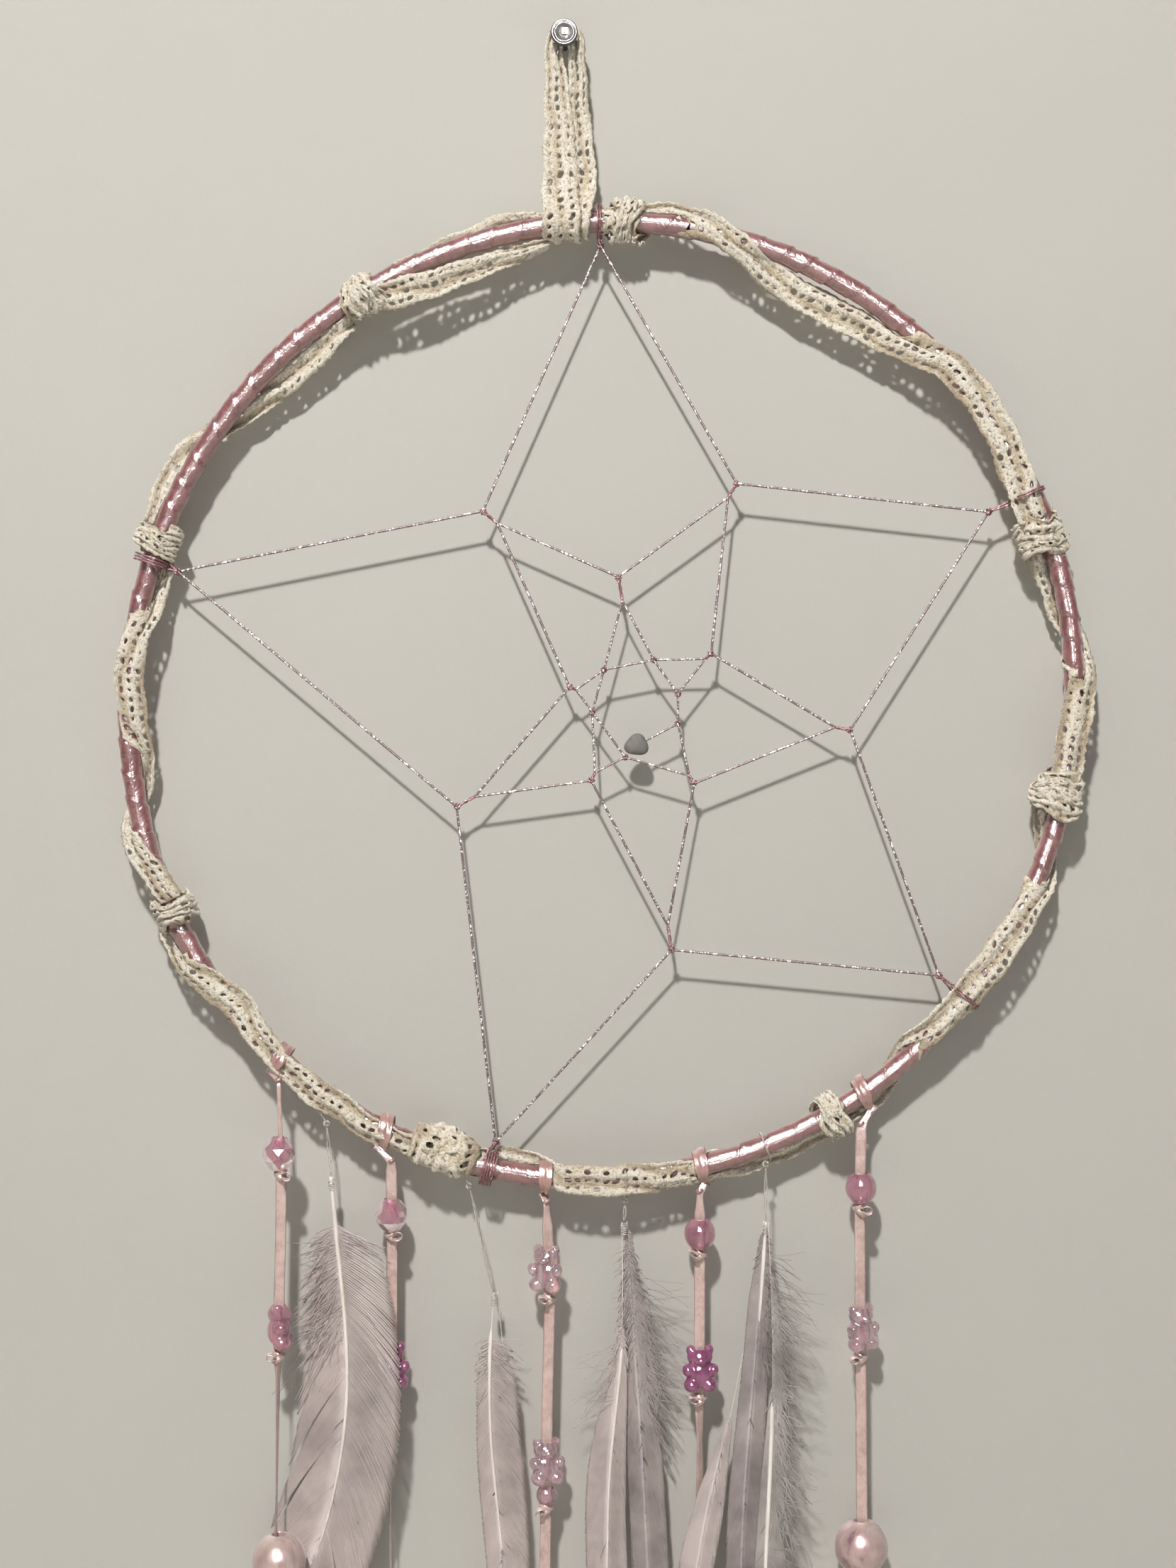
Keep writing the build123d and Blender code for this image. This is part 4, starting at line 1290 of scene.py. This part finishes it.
def bear_mesh():
    """A small standing bear, moulded all in one, with a hole from its head to its feet."""
    parts = [ellipsoid((0, 0, -1.6), (4.5, 3.6, 4.9)), ellipsoid((0, 0, 3.7), (4.1, 3.5, 3.2)),
             ellipsoid((0, -2.8, 3.0), (1.8, 1.5, 1.3))]
    for side in (-1, 1):
        parts.append(ellipsoid((side * 2.9, 0, 5.8), (1.5, 1.6, 1.6)))
        parts.append(ellipsoid((side * 3.9, -1.2, -0.3), (1.8, 2.2, 2.1), lean=side * 0.4))
        parts.append(ellipsoid((side * 2.8, -1.3, -4.8), (2.5, 2.8, 2.3), lean=side * -0.3))
    bear = mesh_object("bear", join(parts))
    modify(bear, "REMESH", mode="VOXEL", voxel_size=0.32 * MM)
    modify(bear, "SMOOTH", factor=0.5, iterations=5)
    through = np.array([[0, 0, -12.0], [0, 0, 12.0]])
    bore = mesh_object("bore", sweep(through, circle_section(24, 2.08), (1, 0, 0)))
    modify(bear, "BOOLEAN", operation="DIFFERENCE", object=bore, solver="EXACT")
    result = bear.data.copy()
    bpy.data.objects.remove(bore)
    bpy.data.objects.remove(bear)
    return result


BEAR = bear_mesh()


# radius, bore and height share of the turned beads, by the first word of their names; then the cut bead's
BALLS = {"pearl": (8.5, 2.05, 1.0), "small": (3.15, 2.05, 1.0), "round": (4.9, 2.1, 1.1)}
FACETED_R, FACETED_BORE = 5.2, 2.1


def bead_piece(node, body, material, spin):
    """One bead, centred on its part in the frame; spin turns it about its ribbon."""
    centre = centre_of(node)
    if "bear" in node:
        faces = [tuple(p.vertices) for p in BEAR.polygons]
        geometry = (verts_of(BEAR) / MM @ turned(spin).T + centre, faces)
    elif "faceted" in node:
        geometry = faceted_ball(centre, FACETED_R, FACETED_BORE, spin)
    else:
        geometry = bored_ball(centre, *BALLS[node.split("_")[0]])
    return add_piece(f"{node}_shape", geometry, body, material, [node], smooth="faceted" not in node)


PINK = (MAT_ROUND_BEAD, "pink_bead")
MAGENTA = (MAT_MAGENTA_BEAD, "magenta_bead")
BLUSH = (MAT_BLUSH_BEAD, "blush_bead")
# by a bead's name, or by the first word of it
BEAD_LOOKS = {"faceted": PINK, "round": PINK, "small": (MAT_BLUSH_BEAD, "pink_bead"),
              "pearl": (MAT_PEARL, "pearl"), "bear_bead_1": PINK, "bear_bead_2": MAGENTA,
              "bear_bead_4": MAGENTA, "bear_bead_5": BLUSH, "upper": BLUSH, "lower": BLUSH}
# how far each of these is turned about its ribbon
BEAD_SPIN = {"bear_bead_1": pi / 2, "bear_bead_5": 0.5, "upper_bear_bead_3": -0.35, "lower_bear_bead_3": 0.3,
             "faceted_bead_1": 0.3, "bear_bead_4": 0.12, "bear_bead_2": 0.2}


def strands():
    """Each strand with its ribbon, knots and beads."""
    body_of_node = {n: b for b, nodes in frame["record"]["behaviour"]["bodies"].items() for n in nodes}
    for number, facts in STRANDS.items():
        ribbon, line, pieces = strand(number, facts)
        for node in facts["beads"]:
            look = BEAD_LOOKS.get(node) or BEAD_LOOKS[node.split("_")[0]]
            pieces.append(bead_piece(node, body_of_node[node], look[0], BEAD_SPIN.get(node, 0.0)))


# ---------------------------------------------------------------- feathers


BARB_SPACING = 0.32
BARB_TILT = 0.08
BARB_BEND = 0.3
VANE_THICK = 0.05


def barb(root, heading, length, bend, cup, width, rng, segments, mark, fluff):
    """One flat barb from the quill in the feather's plane, bending as it goes and cupped back in depth."""
    verts, marks = [], []
    here = np.array(root, float)
    step = length / segments
    wander = rng.uniform(0, 6)
    for i in range(segments + 1):
        t = i / segments
        across = unit(np.array([-sin(heading), BARB_TILT, cos(heading)]))
        w = width * (1 - 0.5 * t**2) * 0.5
        depth = np.array([0, cup * t * t + fluff * 1.2 * sin(wander + 5 * t) * t, 0])
        verts.append(here + depth + across * w)
        verts.append(here + depth - across * w)
        marks += [(mark[0], t, mark[1]), (mark[0], t, mark[1])]
        heading += bend / segments + fluff * rng.uniform(-0.4, 0.4)
        here = here + np.array([cos(heading), 0, sin(heading)]) * step
    faces = [(2 * i, 2 * i + 1, 2 * i + 3, 2 * i + 2) for i in range(segments)]
    return (np.array(verts), faces), marks


def profile(table, share):
    """The value at a share, from (share, value) rows."""
    return np.interp(share, [row[0] for row in table], [row[1] for row in table])


def feather(name, body, quill, left, right, y, material, seed, open_angle, quill_r, down=(), wisps=(),
            splits=(), turn=0.0):
    """A feather that hangs from its bare end.

    quill is its line as (x, z) from the bare end to the tip. left and right give the vane's reach from the
    quill, open_angle the angle between barb and quill and quill_r the quill's radius, each as (share along
    the quill, value). down lists (side, from, to, amount) ranges of loose barbs, wisps lists (side, from, to,
    count, length) ranges of long fine hairs, and splits lists (side, share) places where the vane has parted.
    turn is how far the feather is turned about its bare end, seen from above."""
    rng = random.Random(seed)
    line = resample(smooth_path([(x, 0.0, z) for x, z in quill], resolution=16), 0.8)
    s = lengths_of(line)
    total = s[-1]
    tangent = tangents(line)
    parts, marks = [], []

    def root_at(at):
        i = min(int(np.interp(at, s, np.arange(len(s)))), len(line) - 1)
        return line[i], atan2(tangent[i][2], tangent[i][0])

    for side, reach in ((-1, left), (1, right)):
        at, parted = reach[0][0] * total, 0.0
        while at < total - 0.3:
            share = at / total
            root, along = root_at(at)
            if any(which == side and abs(share - place) < 0.003 for which, place in splits):
                parted = rng.uniform(0.04, 0.07)
                at += BARB_SPACING * 1.6
            parted *= 0.965
            amounts = [amount for which, a, b, amount in down if which == side and a <= share <= b]
            loose = max(amounts, default=0.0)
            angle = profile(open_angle, share) + rng.uniform(-0.012, 0.012)
            angle = angle + loose * rng.uniform(-0.2, 0.35) - parted
            length = profile(reach, share) / max(sin(angle - BARB_BEND * 0.45), 0.3) * rng.uniform(0.97, 1.02)
            length *= 1 + loose * rng.uniform(-0.35, 0.4)
            cup = 0.04 * profile(reach, share) + rng.uniform(-0.01, 0.01)
            geometry, mark = barb(root, along + side * angle, length, -side * BARB_BEND, cup,
                                  0.66 - 0.34 * loose, rng, 7, (share, rng.uniform(0, 1)), 0.6 * loose)
            parts.append(geometry)
            marks += mark
            at += BARB_SPACING
    for side, a, b, count, reach in wisps:
        for _ in range(count):
            share = rng.uniform(a, b)
            root, along = root_at(share * total)
            heading = along + side * rng.uniform(0.5, 1.35)
            length = reach * rng.uniform(0.6, 1.1)
            geometry, mark = barb(root, heading, length, -side * rng.uniform(-0.2, 0.8),
                                  rng.uniform(-0.6, 0.8), 0.2, rng, 9, (share, rng.uniform(0, 1)), 0.5)
            parts.append(geometry)
            marks += mark

    def radius(i, count):
        return profile(quill_r, i / (count - 1))

    # where the quill is thin it lies behind the barbs
    hidden = np.array([profile(quill_r, x / total) < 0.3 for x in s], float)
    hidden = np.convolve(np.pad(hidden, 4, mode="edge"), np.ones(9) / 9, mode="valid")
    depth = np.zeros((len(line), 3))
    depth[:, 1] = -0.15 + 0.75 * hidden
    shaft = sweep(line + depth, circle_section(8, radius), (0, -1, 0))
    pivot = np.array([quill[0][0], 0, 0])

    def settle(geometry):
        return (geometry[0] - pivot) @ turned(turn).T + pivot + np.array([0, y, 0]), geometry[1]

    vane = add_piece(f"{name}_vane", settle(join(parts)), body, material, [name], lay=marks)
    modify(vane, "SOLIDIFY", thickness=VANE_THICK * MM, offset=0.0)
    add_piece(f"{name}_quill", settle(shaft), body, MAT_QUILL)


WIDE_ANGLE = [(0.0, 1.3), (0.14, 1.15), (0.3, 0.8), (1.0, 0.55)]
NARROW_ANGLE = [(0.0, 0.7), (0.3, 0.5), (1.0, 0.36)]


def feathers():
    feather("feather_1", "drop_1",
            [(-72.9, -357), (-71.0, -377), (-68.4, -398), (-67.2, -418), (-68.2, -436), (-71.0, -452),
             (-74.5, -466), (-80.5, -482), (-88.5, -503)],
            [(0.105, 8), (0.2, 15), (0.33, 20), (0.5, 23), (0.66, 24), (0.82, 22), (0.94, 14), (1.0, 2)],
            [(0.105, 13), (0.16, 16), (0.27, 17.5), (0.5, 17), (0.7, 16), (0.86, 14), (0.95, 9), (1.0, 1.5)],
            -9.6, MAT_VANE, 1, WIDE_ANGLE, [(0, 0.6), (0.12, 0.7), (0.5, 0.55), (1.0, 0.15)],
            down=[(-1, 0.0, 0.3, 0.6), (1, 0.0, 0.14, 0.35)],
            wisps=[(-1, 0.1, 0.34, 90, 20), (1, 0.1, 0.16, 16, 12)],
            splits=[(-1, 0.33), (-1, 0.42), (-1, 0.53), (1, 0.74)], turn=radians(-17.2))
    feather("feather_2a", "drop_2",
            [(-22.0, -393.5), (-22.9, -404), (-23.5, -418), (-23.2, -438), (-21.2, -458), (-18.8, -480),
             (-18.6, -505)],
            [(0.13, 3.0), (0.2, 4.0), (0.5, 5.4), (0.85, 6.0), (1.0, 1)],
            [(0.13, 6), (0.2, 9), (0.35, 10.6), (0.6, 9.0), (0.85, 6), (1.0, 1)],
            -9.5, MAT_VANE, 2, WIDE_ANGLE, [(0, 0.14), (0.1, 0.16), (0.13, 0.7), (0.3, 0.45), (1.0, 0.2)],
            down=[(-1, 0.0, 0.22, 0.5), (1, 0.0, 0.18, 0.4)],
            wisps=[(1, 0.12, 0.18, 30, 12), (-1, 0.12, 0.3, 24, 6)])
    feather("feather_2b", "drop_2",
            [(-21.0, -393.5), (-18.0, -425), (-15.0, -450), (-15.2, -475), (-16.6, -510)],
            [(0.5, 1.2), (0.65, 3), (0.85, 3.6), (1.0, 1)],
            [(0.5, 2.4), (0.6, 3.8), (0.8, 3.2), (1.0, 0.8)],
            -8.1, MAT_VANE, 3, NARROW_ANGLE, [(0, 0.1), (0.45, 0.1), (0.5, 0.55), (1.0, 0.2)],
            wisps=[(1, 0.45, 0.55, 8, 4)])
    feather("feather_3a", "drop_3",
            [(18.0, -371.4), (18.4, -395), (18.0, -413), (15.8, -432), (13.8, -452), (13.3, -480),
             (13.2, -511)],
            [(0.22, 0.8), (0.28, 3.0), (0.34, 6.0), (0.42, 7.4), (0.5, 7.0), (0.8, 6.6), (1.0, 1)],
            [(0.24, 0.8), (0.3, 2.4), (0.36, 4), (0.5, 7), (0.8, 9), (0.93, 6), (1.0, 1)],
            -9.7, MAT_VANE, 4, NARROW_ANGLE, [(0, 0.12), (0.27, 0.12), (0.3, 0.62), (0.7, 0.4), (1.0, 0.2)],
            down=[(-1, 0.0, 0.3, 0.4), (1, 0.0, 0.3, 0.4)],
            wisps=[(-1, 0.26, 0.42, 34, 15), (-1, 0.05, 0.26, 12, 5)])
    feather("feather_3b", "drop_3",
            [(19.6, -371.4), (21.2, -395), (23.6, -425), (25.4, -455), (26.6, -480), (27.5, -507)],
            [(0.02, 1.2), (0.1, 2.6), (0.2, 4.2), (0.3, 5.6), (0.6, 6), (0.85, 5), (1.0, 1)],
            [(0.02, 1.2), (0.12, 3), (0.22, 6), (0.4, 6.4), (0.7, 7), (0.88, 5), (1.0, 1)],
            -8.3, MAT_VANE_DARK, 5, NARROW_ANGLE, [(0, 0.12), (0.4, 0.12), (0.5, 0.2), (1.0, 0.12)],
            down=[(-1, 0.0, 0.3, 0.6), (1, 0.0, 0.42, 0.7)],
            wisps=[(1, 0.12, 0.42, 110, 19), (-1, 0.05, 0.28, 40, 6)])
    feather("feather_4a", "drop_4",
            [(62.7, -370.5), (61.6, -388), (60.2, -408), (58.0, -435), (56.0, -462), (55.4, -485),
             (55.2, -505)],
            [(0.02, 1.5), (0.12, 4.0), (0.5, 5.8), (0.85, 5.4), (1.0, 1)],
            [(0.02, 1.5), (0.2, 4), (0.5, 6), (0.85, 5), (1.0, 1)],
            -13.3, MAT_VANE_DARK, 6, NARROW_ANGLE,
            [(0, 0.3), (0.07, 0.7), (0.2, 0.45), (0.26, 0.12), (1.0, 0.1)],
            down=[(1, 0.0, 0.3, 0.5)], wisps=[(1, 0.06, 0.3, 60, 14), (-1, 0.02, 0.1, 10, 5)])
    feather("feather_4b", "drop_4",
            [(63.4, -370.5), (64.8, -400), (64.6, -430), (63.6, -455), (62.3, -478), (61.4, -513)],
            [(0.36, 1), (0.5, 3), (0.85, 4.5), (1.0, 1)],
            [(0.12, 2), (0.2, 4), (0.4, 5), (0.6, 8.0), (0.85, 10.5), (0.95, 7), (1.0, 2)],
            -14.8, MAT_DOWN, 7, NARROW_ANGLE, [(0, 0.1), (0.38, 0.1), (0.41, 0.7), (0.7, 0.65), (1.0, 0.25)],
            down=[(1, 0.0, 0.6, 0.75)], wisps=[(1, 0.1, 0.75, 200, 17)])
    feather("feather_4c", "drop_4",
            [(62.2, -370.5), (58.0, -400), (53.0, -426), (47.5, -450), (42.5, -472), (39.5, -494)],
            [(0.5, 1.5), (0.58, 5), (0.7, 6.5), (0.9, 5), (1.0, 1)],
            [(0.5, 1.5), (0.6, 5), (0.75, 7), (0.9, 6), (1.0, 1)],
            -11.8, MAT_VANE, 8, NARROW_ANGLE, [(0, 0.1), (0.5, 0.1), (0.6, 0.2), (1.0, 0.12)])


# for each feather drop: the hoop angle of its hitch and its thread's lower end
DROPS = {1: (214.8, (-72.9, -9.6, -357.0)), 2: (195.2, (-22.0, -9.0, -393.0)),
         3: (175.7, (18.7, -9.0, -371.0)), 4: (158.4, (62.7, -13.3, -370.0))}
# nylon radii: the turns on the hoop, the tie down from them, the doubled thread, the binding and the knot
TURNS_R, TIE_DOWN_R, NYLON_R, BINDING_R, NYLON_KNOT_R = 0.15, 0.16, 0.17, 0.2, 0.3
# its twist, in millimetres for a turn, near the hoop and below
TIGHT_TWIST, LOOSE_TWIST = 3.0, 5.0


def nylon(name, geometry, body, replaces=()):
    """A piece of clear nylon."""
    return add_piece(name, geometry, body, MAT_NYLON, replaces)


def drop_hitch(angle, pivot):
    """The drop's thread taken twice round the hoop, and down to the knot it swings from."""
    centre, out, clockwise = hoop_at(angle)
    ring = []
    for i in range(33):
        t = 2 * pi * i / 16
        radial = -cos(t) * out + sin(t) * TOWARDS
        ring.append(centre + out * 0.4 + radial * 4.7 + clockwise * (0.5 * i / 32 - 0.25))
    tie_down = np.linspace(centre + out * 5.0, pivot, 12)
    return [twisted(ring, TURNS_R, TIGHT_TWIST, 0.0, 0.5),
            twisted(tie_down, TIE_DOWN_R, TIGHT_TWIST, 0.0, 0.5)]


def doubled_thread(start, low):
    """The two threads of a drop, standing a little apart between its ends."""
    side, fall = np.array([0.45, 0, 0]), low - start
    parts = []
    for sign in (-1, 1):
        points = [start, start + fall * 0.3 + side * sign, start + fall * 0.7 + side * sign * 0.8, low]
        parts.append(twisted(smooth_path(points, resolution=8), NYLON_R, LOOSE_TWIST, sign, 0.8))
    return join(parts)


def quill_binding(low):
    """Thread wound round the bare end of the quill."""
    wrap = []
    for i in range(61):
        t = 2 * pi * i / 12
        wrap.append(low + np.array([0.95 * cos(t), 0.95 * sin(t), -1.0 - 3.2 * i / 60]))
    return twisted(wrap, BINDING_R, LOOSE_TWIST, 0.0, 0.4)


def drop_threads():
    """The feathers' threads: hitch, knot, doubled thread and the binding on the quill."""
    hitches = []
    for number, (angle, low) in DROPS.items():
        body = f"drop_{number}"
        pivot = joint_place(f"{body}_swing")
        low = np.array(low)
        hitches += drop_hitch(angle, pivot)
        knot = twisted(thread_knot(pivot, 0.8, 0.7, 0.8, 20), NYLON_KNOT_R, TIGHT_TWIST)
        nylon(f"drop_knot_{number}", knot, f"{body}_knot", [f"thread_knot_{number}"])
        start = pivot + unit(low - pivot) * 1.25
        doubled = doubled_thread(start, low)
        thread = nylon(f"drop_thread_{number}", doubled, body, [f"feather_thread_{number}"])
        binding = nylon(f"quill_binding_{number}", quill_binding(low), body)
    nylon("drop_hitches", join(hitches), "hoop", ["thread_hitches"])


# ---------------------------------------------------------------- build everything

plain_cad_finishes()
satin_winding()
lace_bands()
lace_knots()
lace_loose_end()
hanging_loop()
web()
web_hitches()
stone_charm()
wall_pin()
tie_rings()
strands()
feathers()
drop_threads()

# ---------------------------------------------------------------- stage, light and camera


def stage_material(name, colour, one_sided):
    """Matt paint. The wall's is clear from behind and to shadow rays, so it hides and darkens nothing."""
    s = Shader(name, Roughness=0.95, Specular_IOR_Level=0.1)
    mottle = s.noise(s.place(), 3.0, 5.0)
    grain = s.noise(s.place(), 260.0, 6.0)
    s.set("Base Color", s.ramp(mottle, [(0.3, tuple(0.94 * c for c in colour[:3])), (0.7, colour)]))
    s.set("Normal", s.bump(grain, 0.15, 0.0008))
    if one_sided:
        clear = s.node("BsdfTransparent")
        facing = s.node("NewGeometry").outputs["Backfacing"]
        shadow = s.node("LightPath").outputs["Is Shadow Ray"]
        both = s.node("MixShader", {"Fac": s.math("MAXIMUM", facing, shadow)})
        s.tree.links.new(s.main.outputs[0], both.inputs[1])
        s.tree.links.new(clear.outputs[0], both.inputs[2])
        s.tree.links.new(both.outputs[0], s.tree.nodes["Material Output"].inputs["Surface"])
    return s.material


def stage_plane(name, corners, material):
    mesh = bpy.data.meshes.new(name)
    mesh.from_pydata(corners, [], [(0, 1, 2, 3)])
    mesh.materials.append(material)
    in_scene(name, mesh)


# the stage, the lights and the camera are in metres
FLOOR_Z = CAD_BOX[0][2] - 0.06
FLOOR_SIDE = 6
stage_plane("floor", [(-FLOOR_SIDE, -FLOOR_SIDE, FLOOR_Z), (FLOOR_SIDE, -FLOOR_SIDE, FLOOR_Z),
                      (FLOOR_SIDE, FLOOR_SIDE, FLOOR_Z), (-FLOOR_SIDE, FLOOR_SIDE, FLOOR_Z)],
            stage_material("floor_paint", srgb(206, 203, 197), False))
WALL_Y, WALL_TOP, WALL_SIDE = 0.0012, 1.6, 2.2
stage_plane("wall", [(-WALL_SIDE, WALL_Y, FLOOR_Z), (WALL_SIDE, WALL_Y, FLOOR_Z),
                     (WALL_SIDE, WALL_Y, WALL_TOP), (-WALL_SIDE, WALL_Y, WALL_TOP)],
            stage_material("wall_paint", srgb(190, 188, 182), True))


def area_light(name, place, target, size, power, colour=(1, 1, 1)):
    data = bpy.data.lights.new(name, "AREA")
    data.size = size
    data.energy = power
    data.color = colour
    lamp = in_scene(name, data)
    lamp.location = place
    lamp.rotation_euler = (Vector(target) - Vector(place)).to_track_quat("-Z", "Y").to_euler()
    return lamp


AIM = (0.01, 0.0, -0.25)
area_light("key", (-0.26, -1.35, 1.15), AIM, 0.11, 42.0, (1.0, 0.975, 0.945))
area_light("fill", (1.3, -1.8, 0.2), AIM, 1.6, 1.2, (0.86, 0.97, 1.0))
sheen = area_light("sheen", (-0.05, -1.1, 0.25), AIM, 0.5, 42.0)
sheen.visible_diffuse = False
area_light("back", (-0.8, 1.8, 0.9), AIM, 1.4, 26.0)

world = bpy.data.worlds.new("studio")
SCENE.world = world
world.use_nodes = True
world.node_tree.nodes["Background"].inputs["Color"].default_value = (0.86, 0.95, 0.98, 1)
world.node_tree.nodes["Background"].inputs["Strength"].default_value = 0.11

# the camera looks straight at the hoop's plane from this far, and sees this much height there
CAMERA_FROM = 0.65
CAMERA_X, CAMERA_Z = 0.0074, -0.2342
SEEN_HEIGHT = 0.4916
SENSOR = 36.0
camera_data = bpy.data.cameras.new("camera")
camera_data.sensor_width = SENSOR
camera_data.lens = SENSOR * CAMERA_FROM / SEEN_HEIGHT
camera_data.clip_start = 0.02
camera = in_scene("camera", camera_data)
camera.location = (CAMERA_X, HOOP_Y * MM - CAMERA_FROM, CAMERA_Z)
camera.rotation_euler = (pi / 2, 0, 0)
SCENE.camera = camera

SCENE.view_settings.view_transform = "Standard"
